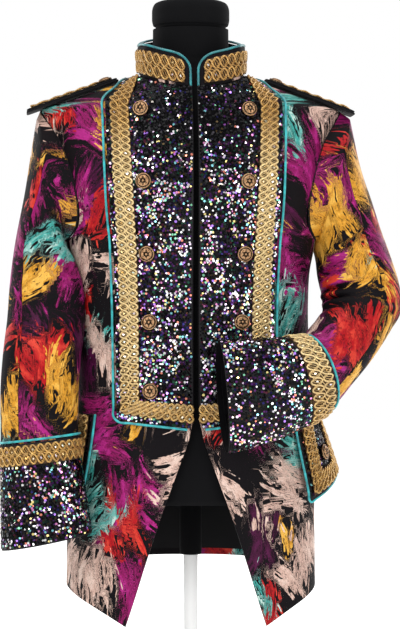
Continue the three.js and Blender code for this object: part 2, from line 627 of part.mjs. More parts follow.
function addCollar() {
  // -1 and 1 are the two front edges and 0 is the centre back
  const halfPlaces = [1, 0.985, 0.96, 0.92, 0.87, 0.8, 0.71, 0.61, 0.5, 0.39, 0.27, 0.13];
  const places = [...halfPlaces.map((place) => -place), 0, ...halfPlaces.reverse()];
  const surface = (place, up) => {
    const fromEdge = (1 - Math.abs(place)) * collarSpan;
    return collarAt(Math.sign(place), fromEdge, up * collarTop(fromEdge));
  };
  const centre = () => vector(0, 0, 930);
  const wall = clothWall(surface, places, [0, 0.5, 1], {
    lift: 0,
    thickness: collar.thickness,
    centre,
  });
  add("collar", wall, "brocade");

  const inset = collarBraid.edge / collarSpan;
  const braidPlaces = places.map((place) => Math.sign(place) * Math.min(Math.abs(place), 1 - inset));
  braidPlaces.splice(-2, 1);
  braidPlaces.splice(1, 1);
  const braidUps = [collarBraid.bottom, lerp(collarBraid.bottom, collarBraid.top, 0.5), collarBraid.top];
  const strip = clothWall(surface, braidPlaces, braidUps, {
    lift: collar.thickness + 0.5,
    thickness: braid.thickness,
    centre,
  });
  add("braid_collar", strip, "goldBraid");

  // up the front edge, round the corner and along the top to the centre back
  const off = pipingRadius + 2.5 * seamGap;
  const middle = collar.thickness / 2;
  const straight = collarRise(0) - collar.corner;
  const half = [0, 0.5, 0.95].map((up) => collarAt(1, -off, up * straight, middle));
  for (const turn of spread(20, 90, 4).map(THREE.MathUtils.degToRad)) {
    const reach = collar.corner + off;
    const fromEdge = collar.corner - reach * Math.cos(turn);
    const level = collarRise(Math.max(0, fromEdge) / collarSpan) - collar.corner;
    half.push(collarAt(1, fromEdge, level + reach * Math.sin(turn), middle));
  }
  for (const share of spread(0.2, 1, 9)) {
    const fromEdge = share * collarSpan;
    half.push(collarAt(1, fromEdge, collarTop(fromEdge) + off, middle));
  }
  const other = half.slice(0, -1).map((point) => vector(-point.x, point.y, point.z));
  half[half.length - 1].x = 0;
  add("piping_collar", cord([...half, ...other.reverse()], pipingRadius, 44), "tealCord");
}

// The armhole from the shoulder seam down the front or the back, through the panel's own
// edge points, with the share of its length at each
function armholeLine(rows, armpitRow, isBack) {
  const points = rows
    .filter((row, i) => i >= armpitRow && !armholeSkips.includes(rows.length - 1 - i))
    .reverse()
    .map((row) => torso(isBack ? 180 - row.outerAngle : row.outerAngle, row.outerZ));
  const reach = [0];
  points.slice(1).forEach((point, i) => reach.push(reach[i] + point.distanceTo(points[i])));
  const shares = reach.map((length) => length / reach[reach.length - 1]);
  return { points, shares };
}

const armhole = {
  front: armholeLine(frontRows, frontArmpitRow, false),
  back: armholeLine(backRows, backArmpitRow, true),
};

function armholePoint(around) {
  const turn = ((around % 1) + 1) % 1;
  const { points, shares } = turn <= 0.5 ? armhole.front : armhole.back;
  const share = turn <= 0.5 ? turn * 2 : 2 - turn * 2;
  let i = 0;
  while (i < shares.length - 2 && share > shares[i + 1]) i += 1;
  const point = points[i].clone().lerp(points[i + 1], (share - shares[i]) / (shares[i + 1] - shares[i]));
  const low = THREE.MathUtils.smoothstep(share, 0.45, 0.9);
  point.x += lerp(sleeveSetIn.top, sleeveSetIn.armpit, low);
  return point;
}

// Columns round a sleeve, at the armhole's own points, in two pieces with a seam between
const frontTurns = armhole.front.shares.map((share) => share / 2);
const backTurns = armhole.back.shares.map((share) => -share / 2);
const frontSeam = frontTurns[sleeveSeamPoint];
const backSeam = backTurns[sleeveSeamPoint];
const sleeveSeamGap = 0.0008;
const outerTurns = [
  backSeam + sleeveSeamGap,
  ...backTurns.slice(1, sleeveSeamPoint).reverse(),
  ...frontTurns.slice(0, sleeveSeamPoint),
  frontSeam - sleeveSeamGap,
];
const innerTurns = [
  frontSeam + sleeveSeamGap,
  ...frontTurns.slice(sleeveSeamPoint + 1),
  ...backTurns.slice(sleeveSeamPoint + 1, -1).reverse().map((turn) => turn + 1),
  backSeam + 1 - sleeveSeamGap,
];
const ringTurns = [...frontTurns, ...backTurns.slice(1, -1).reverse().map((turn) => turn + 1)];

// How far the cloth is drawn in by its creases at one place of a sleeve
function creaseDepth(creases, around, ring) {
  const turn = ((around % 1) + 1) % 1;
  const depths = creases.map((crease) => {
    const beside = (turn - crease.around) / crease.half;
    const along = (ring - crease.ring - crease.slant * (turn - crease.around)) / crease.width;
    return Math.abs(beside) >= 1 ? 0 : crease.depth * (1 - beside ** 2) ** 2 * Math.exp(-(along ** 2));
  });
  return Math.max(0, ...depths);
}

// A point moved out from the body's axis until it is clear of the torso by that much
function clearOfBody(point, gap) {
  const square = bodyCurve.square(point.z);
  const depth = point.y < 0 ? bodyCurve.front(point.z) : bodyCurve.back(point.z);
  const across = Math.abs(point.x) / (bodyCurve.halfWidth(point.z) + gap);
  const along = Math.abs(point.y) / (depth + gap);
  const reach = (across ** square + along ** square) ** (1 / square);
  if (reach >= 1 || point.z > 700) return point;
  return vector(point.x / reach, point.y / reach, point.z);
}

// A sleeve's inner face: round it from the far side over the front, and along it by rings
function sleeveSurface(rows, creases, side, clearance) {
  const columns = ["nearX", "nearY", "nearZ", "farX", "farY", "farZ", "depth", "turn"];
  const curve = Object.fromEntries(columns.map((column) => [column, tableCurve(rows, column)]));
  const middle = (row) => {
    const near = vector(curve.nearX(row), curve.nearY(row), curve.nearZ(row));
    const far = vector(curve.farX(row), curve.farY(row), curve.farZ(row));
    return { near, far, centre: near.clone().lerp(far, 0.5) };
  };
  const ringPoint = (around, row) => {
    const { far, centre } = middle(row);
    const reach = far.sub(centre);
    const axis = reach.clone().normalize();
    const forwards = vector(0, -1, 0).addScaledVector(axis, axis.y).normalize();
    forwards.applyAxisAngle(axis, -THREE.MathUtils.degToRad(curve.turn(row)));
    const turn = 2 * Math.PI * around;
    const drawnIn = 1 - creaseDepth(creases, around, row + 1) / reach.length();
    const point = centre.clone().addScaledVector(reach, Math.cos(turn) * drawnIn);
    point.addScaledVector(forwards, Math.sin(turn) * curve.depth(row) * drawnIn);
    return clearOfBody(point, clearance(row + 1));
  };
  const mirror = (point) => vector(point.x * side, point.y, point.z);
  const surface = (around, ring) => {
    const point = ringPoint(around, Math.max(0, ring - 1));
    if (ring < 1) point.lerp(armholePoint(around), 1 - ring);
    return mirror(point);
  };
  const centre = (ring) => mirror(middle(Math.max(0, ring - 1)).centre);
  return { surface, centre };
}

// A sleeve in its two pieces, and its cuff with a band of braid and a cord above it
function addSleeve(side, rows, creases, cuff, halfRings) {
  const name = sidePrefix[side];
  const clearance = (ring) =>
    lerp(sleeveClearance, cuff.clearance, THREE.MathUtils.clamp((ring - cuff.start) / 1.6 + 1, 0, 1));
  const { surface, centre } = sleeveSurface(rows, creases, side, clearance);
  const lastRing = cuff.end - 0.15;
  const pipingRings = [cuff.start - 0.13, cuff.start - 0.03];
  const rings = [...spread(0, cuff.end - 1, cuff.end - 1), lastRing, pipingRings[0], ...halfRings];
  rings.sort((a, b) => a - b);
  const cloth = { lift: 0, thickness: clothThickness, centre, wraps: true };
  add(`sleeve_outer_${name}`, clothWall(surface, outerTurns, rings, cloth), "brocade");
  add(`sleeve_inner_${name}`, clothWall(surface, innerTurns, rings, cloth), "brocade");

  const layer = { centre, wraps: true, ring: true };
  const cuffRings = spread(cuff.start, cuff.end, cuff.end - cuff.start);
  add(`cuff_${name}`, clothWall(surface, ringTurns, cuffRings, { ...sequinCloth, ...layer }), "sequins");
  const braidRings = [cuff.start + 0.03, cuff.braidEnd];
  const braidLayer = { ...layer, lift: cuffBraidLift, thickness: braid.thickness };
  add(`braid_cuff_${name}`, clothWall(surface, ringTurns, braidRings, braidLayer), "goldBraid");
  const pipingLayer = { lift: 2.0, thickness: 2 * pipingRadius, ...layer };
  add(`piping_cuff_${name}`, clothWall(surface, ringTurns, pipingRings, pipingLayer), "tealCord");
}

function addFlap(side, flare) {
  const name = sidePrefix[side];
  const columns = ["frontAngle", "frontZ", "frontOff", "backAngle", "backZ", "backOff"];
  const curve = Object.fromEntries(columns.map((column) => [column, tableCurve(flapRows, column)]));
  const last = flapRows.length - 1;
  const surface = (across, down) => {
    const row = down * last;
    const angle = lerp(curve.frontAngle(row), curve.backAngle(row), across);
    const height = lerp(curve.frontZ(row), curve.backZ(row), across);
    const limits = { u0: 0, u1: 180, v0: 0, v1: 2000 };
    const level = (turn, z) => torso(turn, z);
    const normal = normalOf(level, angle, height, limits, true);
    normal.z = 0;
    if (normal.x < 0) normal.negate();
    const off = flapSeat + flare * lerp(curve.frontOff(row), curve.backOff(row), across);
    const point = torso(angle, height).addScaledVector(normal.normalize(), off);
    point.x *= side;
    return point;
  };
  const across = spread(0.03, 0.97, 7);
  const down = spread(0, 0.965, 5);
  const layer = { centre: bodyCentre };
  const cloth = { lift: 0, thickness: clothThickness, ...layer };
  add(`flap_${name}`, clothWall(surface, across, down, cloth), "lining");
  const sequinWall = clothWall(surface, across, down, { ...sequinCloth, ...layer });
  add(`sequin_flap_${name}`, sequinWall, "sequins");

  const edge = Object.fromEntries(
    ["outerU", "outerV", "innerU", "innerV"].map((column) => [column, cornerLine(flapBraidRows, column)]),
  );
  const strip = (inwards, row) => {
    const u = lerp(edge.outerU(row), edge.innerU(row), inwards);
    return surface(u, lerp(edge.outerV(row), edge.innerV(row), inwards));
  };
  const braidWall = clothWall(strip, [0, 0.5, 1], cornerSteps(flapBraidRows), { ...braid, ...layer });
  add(`braid_flap_${name}`, braidWall, "goldBraid");

  const limits = { u0: 0, u1: 1, v0: 0, v1: 1 };
  const raised = (u, v, height) => {
    const normal = normalOf(surface, u, v, limits, false);
    if (normal.x * side < 0) normal.negate();
    return surface(u, v).addScaledVector(normal, height);
  };
  const rim = [
    ...spread(0, 0.98, 5).map((v) => raised(-0.006, v, flapPipingLift)),
    ...spread(0.02, 0.98, 4).map((u) => raised(u, 1, flapPipingLift)),
    ...spread(0.98, 0, 5).map((v) => raised(1.006, v, flapPipingLift)),
  ];
  add(`piping_flap_${name}`, cord(rim, pipingRadius, 26), "tealCord");

  const { across: u, down: v } = flapButton;
  const seat = sequinCloth.lift + sequinCloth.thickness + 0.6;
  const point = raised(u, v, seat);
  addButton(`button_flap_${name}`, point, raised(u, v, seat + 1).sub(point));
}

// A domed button with a raised rim on a short shank, standing on its own +Y axis
function buttonGeometry() {
  const profile = [
    [0, 0],
    [shank.radius, 0],
    [shank.radius, shank.height],
    [button.radius, shank.height],
    [button.radius, shank.height + button.rim],
    [button.crown, shank.height + button.crownHeight],
    [0, shank.height + button.height],
  ];
  return new THREE.LatheGeometry(profile.map(([x, y]) => new THREE.Vector2(x, y)), button.sides);
}

function addButton(name, point, normal) {
  const mesh = add(name, buttonGeometry(), "buttonMetal");
  mesh.position.copy(point);
  mesh.quaternion.setFromUnitVectors(vector(0, 1, 0), normal.clone().normalize());
}

function addFrontButtons(side) {
  const seat = sequinCloth.lift + sequinCloth.thickness + 0.5;
  frontButtons.forEach(({ x, z }, i) => {
    const point = frontPoint(x, z, side, seat);
    const normal = frontPoint(x, z, side, seat + 1).sub(point);
    addButton(`button_front_${sidePrefix[side]}_${i + 1}`, point, normal);
  });
}

// A board on the shoulder: two stiff layers and a plate of looped cord on top
function addEpaulette(side) {
  const name = sidePrefix[side];
  const holder = new THREE.Group();
  holder.rotation.z = side > 0 ? 0 : Math.PI;
  const slope = new THREE.Group();
  const ridge = boardSeatHeight - Math.tan(boardPitch) * board.start;
  slope.position.set(board.start, 0, ridge);
  slope.rotation.y = boardPitch;
  holder.add(slope);
  jacket.add(holder);

  const outline = (grow) => {
    const shape = new THREE.Shape();
    const [start, end] = [-grow, board.length + grow];
    const [inner, outer] = [board.inner / 2 + grow, board.outer / 2 + grow];
    shape.moveTo(start, -inner + board.corner);
    shape.lineTo(start, inner - board.corner);
    shape.quadraticCurveTo(start, inner, start + board.corner, inner);
    shape.lineTo(end - board.corner, outer);
    shape.quadraticCurveTo(end, outer, end, outer - board.corner);
    shape.lineTo(end, -outer + board.corner);
    shape.quadraticCurveTo(end, -outer, end - board.corner, -outer);
    shape.lineTo(start + board.corner, -inner);
    shape.quadraticCurveTo(start, -inner, start, -inner + board.corner);
    return shape;
  };
  const slab = (grow) =>
    new THREE.ExtrudeGeometry(outline(grow), {
      depth: board.layer,
      bevelEnabled: false,
      curveSegments: 3,
    });
  add(`board_lower_${name}`, slab(0), "boardCloth", slope);
  const upper = add(`board_upper_${name}`, slab(-1.5), "boardCloth", slope);
  upper.position.z = board.layer + seamGap;

  const loops = new THREE.Shape();
  const radius = boardCord.loopLength / 2;
  const half = boardCord.width / 2 - radius * 0.6;
  const length = boardCord.loops * boardCord.loopLength;
  loops.moveTo(0, -half);
  for (let i = 0; i < boardCord.loops; i += 1) {
    loops.absellipse((i + 0.5) * boardCord.loopLength, -half, radius, radius * 0.6, Math.PI, 0, false);
  }
  loops.lineTo(length, half);
  for (let i = boardCord.loops - 1; i >= 0; i -= 1) {
    loops.absellipse((i + 0.5) * boardCord.loopLength, half, radius, radius * 0.6, 0, Math.PI, false);
  }
  const plate = new THREE.ExtrudeGeometry(loops, {
    depth: boardCord.height,
    bevelEnabled: false,
    curveSegments: 2,
  });
  const cordPlate = add(`cord_board_${name}`, plate, "goldBraid", slope);
  cordPlate.position.set(boardCord.start + 2 * button.radius, 0, 2 * (board.layer + seamGap));

  const boardButton = add(`button_board_${name}`, buttonGeometry(), "buttonMetal", slope);
  boardButton.rotation.x = Math.PI / 2;
  boardButton.position.set(boardCord.start + button.radius - 2, 0, 2 * (board.layer + seamGap));
}

// The dress form, with its bulging neck cap
function addForm() {
  const columns = 20;
  const points = formRings.flatMap(({ height, side, front, back }) =>
    spread(0, 1 - 1 / columns, columns - 1).map((share) => {
      const angle = 360 * share;
      const point = torso(angle > 180 ? 360 - angle : angle, height);
      const width = bodyCurve.halfWidth(height);
      const depth = point.y < 0 ? bodyCurve.front(height) : bodyCurve.back(height);
      const ease = point.y < 0 ? front : back;
      point.x *= (width - side) / width;
      point.y *= (depth - ease) / depth;
      if (angle > 180) point.x *= -1;
      return point;
    }),
  );
  const index = [];
  const rows = formRings.length;
  const at = (row, column) => row * columns + (column % columns);
  for (let row = 0; row < rows - 1; row += 1) {
    for (let column = 0; column < columns; column += 1) {
      const [a, b] = [at(row, column), at(row, column + 1)];
      const [c, d] = [at(row + 1, column + 1), at(row + 1, column)];
      index.push(a, b, c, a, c, d);
    }
  }
  for (let column = 1; column < columns - 1; column += 1) {
    index.push(0, column + 1, column);
    index.push(at(rows - 1, 0), at(rows - 1, column), at(rows - 1, column + 1));
  }
  const torsoGeometry = new THREE.BufferGeometry().setFromPoints(points);
  torsoGeometry.setIndex(index);
  torsoGeometry.computeVertexNormals();
  add("form_torso", torsoGeometry, "formCloth");

  const { radius, groove, bottom, height } = neckCap;
  const top = bottom + height;
  const start = formNeckTop + seamGap;
  const profile = [
    [0, start],
    [groove, start],
    [groove, bottom],
    [radius - 2, bottom + 0.6],
    [radius, bottom + 8],
    [radius, top - 14],
    [radius - 3.5, top - 5],
    [radius - 13, top - 1.2],
    [0, top],
  ];
  add("form_neck_cap", turned(profile, 20), "formCloth");
}

// A solid of revolution about the vertical axis, from radii and heights
function turned(profile, segments) {
  const points = profile.map(([radius, height]) => new THREE.Vector2(radius, height));
  return new THREE.LatheGeometry(points, segments).rotateX(Math.PI / 2);
}

function addStand() {
  const { radius, thickness, bossRadius, bossHeight } = foot;
  const footTop = thickness + bossHeight;
  const profile = [
    [0, 0],
    [radius - 2, 0],
    [radius, 2],
    [radius, thickness - 2],
    [radius - 2, thickness],
    [bossRadius + 2, thickness],
    [bossRadius, thickness + 2],
    [bossRadius - 2, footTop],
    [0, footTop],
  ];
  add("stand_foot", turned(profile, 24), "whiteSteel");
  const poleTop = socket.bottom - seamGap;
  const pole = [
    [0, footTop + seamGap],
    [poleRadius, footTop + seamGap],
    [poleRadius, poleTop],
    [0, poleTop],
  ];
  add("stand_pole", turned(pole, 16), "whiteSteel");
  const sleeve = [
    [0, socket.bottom],
    [socket.radius - 1, socket.bottom],
    [socket.radius, socket.bottom + 1],
    [socket.radius, formBase],
    [0, formBase],
  ];
  add("stand_socket", turned(sleeve, 16), "formCloth");
}

addStand();
addForm();
addLining();
addCollar();
for (const side of [1, -1]) {
  addBody(side);
  addSequinFront(side);
  addFrontBraid(side);
  addFrontPiping(side);
  addFrontButtons(side);
  addEpaulette(side);
  addFlap(side, flapFlare[sidePrefix[side]]);
}
addSleeve(1, bentSleeveRows, bentSleeveCreases, bentCuff, spread(5.5, 9.5, 4));
addSleeve(-1, hangingSleeveRows, hangingSleeveCreases, hangingCuff, [4.5, 5.5, 6.5]);

export default jacket;
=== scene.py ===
# A carnival jacket in brush-print brocade, with sequin fronts and cuffs, looped gold braid and
# teal piping, on a limbless dress form. Blender 4.5. Lengths in the tables are millimetres.
import math

import bpy
import numpy as np
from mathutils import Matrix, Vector


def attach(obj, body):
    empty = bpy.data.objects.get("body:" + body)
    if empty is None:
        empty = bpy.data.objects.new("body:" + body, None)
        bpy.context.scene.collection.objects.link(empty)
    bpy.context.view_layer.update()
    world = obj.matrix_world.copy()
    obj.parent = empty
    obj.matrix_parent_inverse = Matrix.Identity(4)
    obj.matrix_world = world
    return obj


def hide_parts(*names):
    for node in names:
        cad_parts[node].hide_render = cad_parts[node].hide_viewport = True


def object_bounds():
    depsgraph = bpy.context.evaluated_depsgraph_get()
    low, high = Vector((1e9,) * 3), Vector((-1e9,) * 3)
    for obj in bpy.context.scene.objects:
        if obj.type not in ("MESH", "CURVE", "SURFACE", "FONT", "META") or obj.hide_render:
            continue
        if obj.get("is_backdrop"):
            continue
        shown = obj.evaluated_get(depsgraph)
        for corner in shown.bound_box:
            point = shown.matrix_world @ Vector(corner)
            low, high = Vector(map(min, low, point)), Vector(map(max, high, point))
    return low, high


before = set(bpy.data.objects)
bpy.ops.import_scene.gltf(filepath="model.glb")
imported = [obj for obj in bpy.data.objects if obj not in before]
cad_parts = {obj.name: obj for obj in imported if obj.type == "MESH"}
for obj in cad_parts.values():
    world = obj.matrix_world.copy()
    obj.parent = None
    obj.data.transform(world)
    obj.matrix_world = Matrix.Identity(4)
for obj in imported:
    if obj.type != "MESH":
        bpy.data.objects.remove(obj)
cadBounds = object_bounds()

mm = 0.001
clothThickness = 1.6
sequinLift, sequinThickness = 2.5, 1.1
sides = {1: "left", -1: "right"}
print("frame loaded")


# Colours and small node helpers

def tone(code):
    parts = [int(code[i:i + 2], 16) / 255 for i in (0, 2, 4)]
    return tuple(p / 12.92 if p < 0.04045 else ((p + 0.055) / 1.055) ** 2.4 for p in parts) + (1.0,)


# A node material under construction, with short calls for the nodes it needs
class Look:
    def __init__(self, name, **values):
        self.material = bpy.data.materials.new(name)
        self.material.use_nodes = True
        self.tree = self.material.node_tree
        self.shader = self.tree.nodes["Principled BSDF"]
        for socket, value in values.items():
            self.shader.inputs[socket.replace("_", " ")].default_value = value

    # A node with values or links for its inputs, by name or number, and its other settings
    def node(self, kind, inputs=None, **settings):
        made = self.tree.nodes.new(kind)
        for key, value in settings.items():
            setattr(made, key, value)
        for socket, value in (inputs or {}).items():
            self.put(value, made.inputs[socket])
        return made

    def put(self, value, socket):
        if isinstance(value, bpy.types.NodeSocket):
            self.tree.links.new(value, socket)
        else:
            socket.default_value = value

    def math(self, operation, a, b=0.0, clamp=False):
        return self.node("ShaderNodeMath", {0: a, 1: b}, operation=operation, use_clamp=clamp).outputs[0]

    def add(self, a, b, clamp=False):
        return self.math("ADD", a, b, clamp)

    def times(self, a, b):
        return self.math("MULTIPLY", a, b)

    def ramp(self, value, low, high, start=0.0, end=1.0):
        inputs = {"Value": value, "From Min": low, "From Max": high, "To Min": start, "To Max": end}
        return self.node("ShaderNodeMapRange", inputs, interpolation_type="SMOOTHSTEP").outputs["Result"]

    def mix(self, share, a, b, blend="MIX"):
        return self.node("ShaderNodeMix", {"Factor": share, 6: a, 7: b}, data_type="RGBA", blend_type=blend).outputs[2]

    def scaled(self, vector, scale, turn=0.0):
        return self.node("ShaderNodeMapping", {"Vector": vector, "Scale": scale, "Rotation": (0, 0, turn)}).outputs[0]

    def noise(self, vector, scale=1.0, detail=2.0, rough=0.5):
        inputs = {"Vector": vector, "Scale": scale, "Detail": detail, "Roughness": rough}
        return self.node("ShaderNodeTexNoise", inputs).outputs["Fac"]

    def wave(self, vector, scale, distortion=0.0, direction="X"):
        inputs = {"Vector": vector, "Scale": scale, "Distortion": distortion}
        return self.node("ShaderNodeTexWave", inputs, bands_direction=direction).outputs["Fac"]

    def attribute(self, name, output="Vector"):
        return self.node("ShaderNodeAttribute", attribute_name=name).outputs[output]

    # The three numbers of a vector, each on its own
    def split(self, vector):
        return self.node("ShaderNodeSeparateXYZ", {0: vector}).outputs

    def place(self):
        return self.node("ShaderNodeTexCoord").outputs["Object"]

    def height(self):
        return self.split(self.place())[2]

    def flat(self):
        return self.node("ShaderNodeTexCoord").outputs["UV"]

    def bump(self, height, strength, distance):
        made = self.node("ShaderNodeBump", {"Height": height, "Strength": strength, "Distance": distance})
        self.put(made.outputs[0], self.shader.inputs["Normal"])

    def colour(self, value):
        self.put(value, self.shader.inputs["Base Color"])

    def roughness(self, value):
        self.put(value, self.shader.inputs["Roughness"])


# Colours of the print, each with the one that its lighter streaks have. Fray is how far the
# patches' edges break up, and bias how much they shrink, in mm.
brocadeCloth = {
    "ground": "070508", "plum": "3e0a2e", "magenta": "821455", "red": "a5131a",
    "gold": "cb8f2c", "teal": "3f9a92", "blush": "c6a597",
    "lights": {
        "plum": "521340", "magenta": "a8287c", "red": "cf4030", "gold": "e2b050", "teal": "b9d3ca", "blush": "d9c0b3",
    },
    "frayAlong": 44, "frayAcross": 30, "frayFine": 13, "bias": -2.5,
    "gloss": 0.44, "groundGloss": 0.7, "groundThread": "150f13", "scratch": 0.15,
}


def brocadeLook():
    cloth = brocadeCloth
    look = Look("brocade", Roughness=cloth["gloss"], Specular_IOR_Level=0.1)
    stroke = look.attribute("stroke")
    fields = [*look.split(look.attribute("paintA")), *look.split(look.attribute("paintB"))]
    magenta, teal, gold, blush, red, plum = fields
    bristle = look.noise(look.scaled(stroke, (0.015, 0.15, 1)), detail=2, rough=0.5)
    cross = look.noise(look.scaled(stroke, (0.05, 0.12, 1), 0.8), detail=2, rough=0.5)
    fine = look.noise(look.scaled(stroke, (0.06, 0.36, 1), -0.25), detail=2, rough=0.5)
    cloud = look.noise(look.scaled(stroke, (0.03, 0.045, 1)), detail=3, rough=0.6)
    fray = cloth["bias"]
    for streak, size in ((bristle, cloth["frayAlong"]), (cross, cloth["frayAcross"]), (fine, cloth["frayFine"])):
        fray = look.add(fray, look.times(look.math("SUBTRACT", streak, 0.5), size))
    # Thin lines scratched through the paint in three directions, and small bare dashes
    worn = 1.0
    scratches = ((0.1, (0.016, 0.15, 1), 0.02), (-0.8, (0.02, 0.17, 1), 0.015), (1.15, (0.024, 0.15, 1), 0.014))
    for turn, scale, width in scratches:
        line = look.noise(look.scaled(stroke, scale, turn), detail=3, rough=0.72)
        away = look.math("ABSOLUTE", look.math("SUBTRACT", line, 0.5))
        worn = look.times(worn, look.ramp(away, width * 0.4, width, cloth["scratch"], 1))
    worn = look.math("MAXIMUM", worn, look.ramp(cloud, 0.44, 0.5))
    dashes = look.noise(look.scaled(stroke, (0.12, 0.5, 1), 0.4), detail=2, rough=0.6)
    worn = look.times(worn, look.ramp(dashes, 0.64, 0.67, 1, 0.08))
    flat = look.flat()
    thread = look.noise(look.scaled(flat, (420, 1300, 1)), detail=1)
    result = look.mix(look.ramp(thread, 0.35, 0.7, 0, 0.5), tone(cloth["ground"]), tone(cloth["groundThread"]))
    # Plum and magenta have softer edges, which the threads of the cloth break up
    soft = look.add(fray, look.times(look.math("SUBTRACT", thread, 0.5), 26))
    tints = (("plum", plum, soft), ("magenta", magenta, soft), ("red", red, fray),
             ("gold", gold, fray), ("teal", teal, fray), ("blush", blush, fray))
    paint = 0.0
    for name, field, edge in tints:
        inside = look.ramp(look.add(field, edge), 0.0, 0.8)
        cover = look.times(inside, worn)
        streaks = look.ramp(bristle, 0.56, 0.62, 0, 0.2)
        pale = look.add(look.ramp(cloud, 0.5, 0.6, 0, 0.75), streaks, clamp=True)
        shade = look.mix(pale, tone(cloth[name]), tone(cloth["lights"][name]))
        result = look.mix(cover, result, shade)
        paint = look.math("MAXIMUM", paint, cover)
    speck = look.ramp(thread, 0.3, 0.66, 0.66, 1.12)
    grey = look.node("ShaderNodeCombineXYZ", {0: speck, 1: speck, 2: speck})
    look.colour(look.mix(1.0, result, grey.outputs[0], "MULTIPLY"))
    look.roughness(look.ramp(paint, 0, 1, cloth["groundGloss"], cloth["gloss"]))
    rib = look.wave(flat, 220, 0.6, "Y")
    weave = look.add(look.times(thread, 0.9), look.times(rib, 0.25))
    look.bump(look.add(paint, weave), 0.22, 0.0004)
    return look.material


# Colours of the other materials, from dark to light, with an extra one where a look has it. The piping's dark extra is
# a painted shade, and the gold's pale extra is a painted highlight.
plainTones = {
    "lining": ("030304", "0a090c"), "velvet": ("030304", "0a0a0c"), "velvetSheen": "3c3c42",
    "net": ("040305", "0d0a10"), "spangleGlint": "b8b8c4",
    "gold": ("8e5a16", "c08e3c", "f4dca0"), "goldPaintedHighlight": "f6e2b0", "tape": ("1c0f05", "40260c", "78521e"),
    "piping": ("0c7a80", "25aeb2"), "pipingPaintedShadeTone": "04444c", "button": ("120b06", "a37c59", "d0b08a"),
    "board": ("050506", "111014"), "lacquer": ("fafaf8", "ffffff"), "paper": ("fcfcfb", "ffffff"),
}


def shades(name):
    return [tone(code) for code in plainTones[name]]


def liningLook():
    look = Look("lining", Roughness=0.5, Specular_IOR_Level=0.12)
    flat = look.flat()
    weave = look.wave(look.scaled(flat, (1, 1, 1), 0.78), 260, 0.4)
    cloudy = look.noise(look.scaled(flat, (18, 9, 1)), detail=2)
    look.colour(look.mix(cloudy, *shades("lining")))
    look.roughness(look.ramp(cloudy, 0.3, 0.7, 0.42, 0.56))
    look.bump(weave, 0.2, 0.0002)
    return look.material


def velvetLook():
    look = Look("form_velvet", Roughness=0.9, Specular_IOR_Level=0.12, Sheen_Weight=0.12, Sheen_Roughness=0.4,
                Sheen_Tint=tone(plainTones["velvetSheen"]))
    place = look.place()
    nap = look.noise(place, 900, 2)
    brushed = look.noise(look.scaled(place, (14, 14, 5)), 1, 3)
    look.colour(look.mix(brushed, *shades("velvet")))
    look.bump(nap, 0.3, 0.0004)
    return look.material


def sequinLook():
    look = Look("spangles", Metallic=0.9, Roughness=0.22, Specular_IOR_Level=0.5,
                Coat_Weight=0.08, Coat_Roughness=0.1)
    tint = look.attribute("tint", "Color")
    swirl = look.noise(look.place(), 420, 1)
    look.colour(look.mix(look.ramp(swirl, 0.4, 0.75, 0, 0.3), tint, tone(plainTones["spangleGlint"]), "OVERLAY"))
    return look.material


def netLook():
    look = Look("sequin_net", Roughness=0.7, Specular_IOR_Level=0.3)
    flat = look.flat()
    mesh = look.noise(look.scaled(flat, (600, 600, 1)), 1, 2)
    look.colour(look.mix(mesh, *shades("net")))
    look.bump(mesh, 0.4, 0.0005)
    return look.material


# Heights in metres between which the braid is painted paler, a painted highlight, and above which it is painted darker,
# a painted shade
goldPaintedLight = {"highlightTop": (0.87, 0.76), "highlightFoot": (0.36, 0.5), "pale": 0.6, "paintedShadeFrom": (0.82, 0.92), "dark": 0.6}


def goldLook(kind, name, metal, rough, pale=None):
    dark, mid, light = shades(kind)
    look = Look(name, Metallic=metal, Specular_IOR_Level=0.6)
    flat = look.flat()
    twist = look.wave(look.scaled(flat, (1, 1, 1), 0.62), 430, 0.3)
    place = look.place()
    worn = look.noise(place, 130, 3)
    shade = look.mix(look.ramp(worn, 0.34, 0.68), dark, mid)
    # Painted light: between two heights the braid is mixed towards a pale tone, a painted highlight, and high up
    # towards its dark tone, a painted shade
    if pale:
        height, change = look.height(), goldPaintedLight
        between = look.times(look.ramp(height, *change["highlightTop"]), look.ramp(height, *change["highlightFoot"]))
        shade = look.mix(look.times(between, change["pale"]), shade, tone(pale))
        shade = look.mix(look.ramp(height, *change["paintedShadeFrom"], 0, change["dark"]), shade, dark)
    # Along the twist each wrap is mixed towards the light tone: the wraps of the cord, with a painted highlight on each
    look.colour(look.mix(look.ramp(twist, 0.35, 0.95, 0, 0.6), shade, light))
    look.roughness(look.ramp(worn, 0.3, 0.7, rough + 0.08, rough - 0.06))
    look.bump(look.add(twist, look.times(worn, 0.5)), 0.5, 0.0005)
    return look.material


pipingPaintedShadeHeights = {"from": (0.84, 0.92), "share": 0.6}  # heights in metres over which the piping is painted darker: painted shade on its upper part


def pipingLook():
    look = Look("teal_satin", Roughness=0.33, Specular_IOR_Level=0.55, Sheen_Weight=0.15)
    flat = look.flat()
    wrap = look.wave(look.scaled(flat, (1, 1, 1), 0.9), 180, 1.2)
    soft = look.noise(look.scaled(flat, (60, 30, 1)), 1, 2)
    shade = look.mix(look.ramp(soft, 0.35, 0.65), *shades("piping"))
    # Painted shade: towards its top the piping is mixed into a dark teal, for the shade that falls there
    high = look.ramp(look.height(), *pipingPaintedShadeHeights["from"], 0, pipingPaintedShadeHeights["share"])
    look.colour(look.mix(high, shade, tone(plainTones["pipingPaintedShadeTone"])))
    look.bump(look.add(look.times(wrap, 0.5), soft), 0.25, 0.0005)
    return look.material


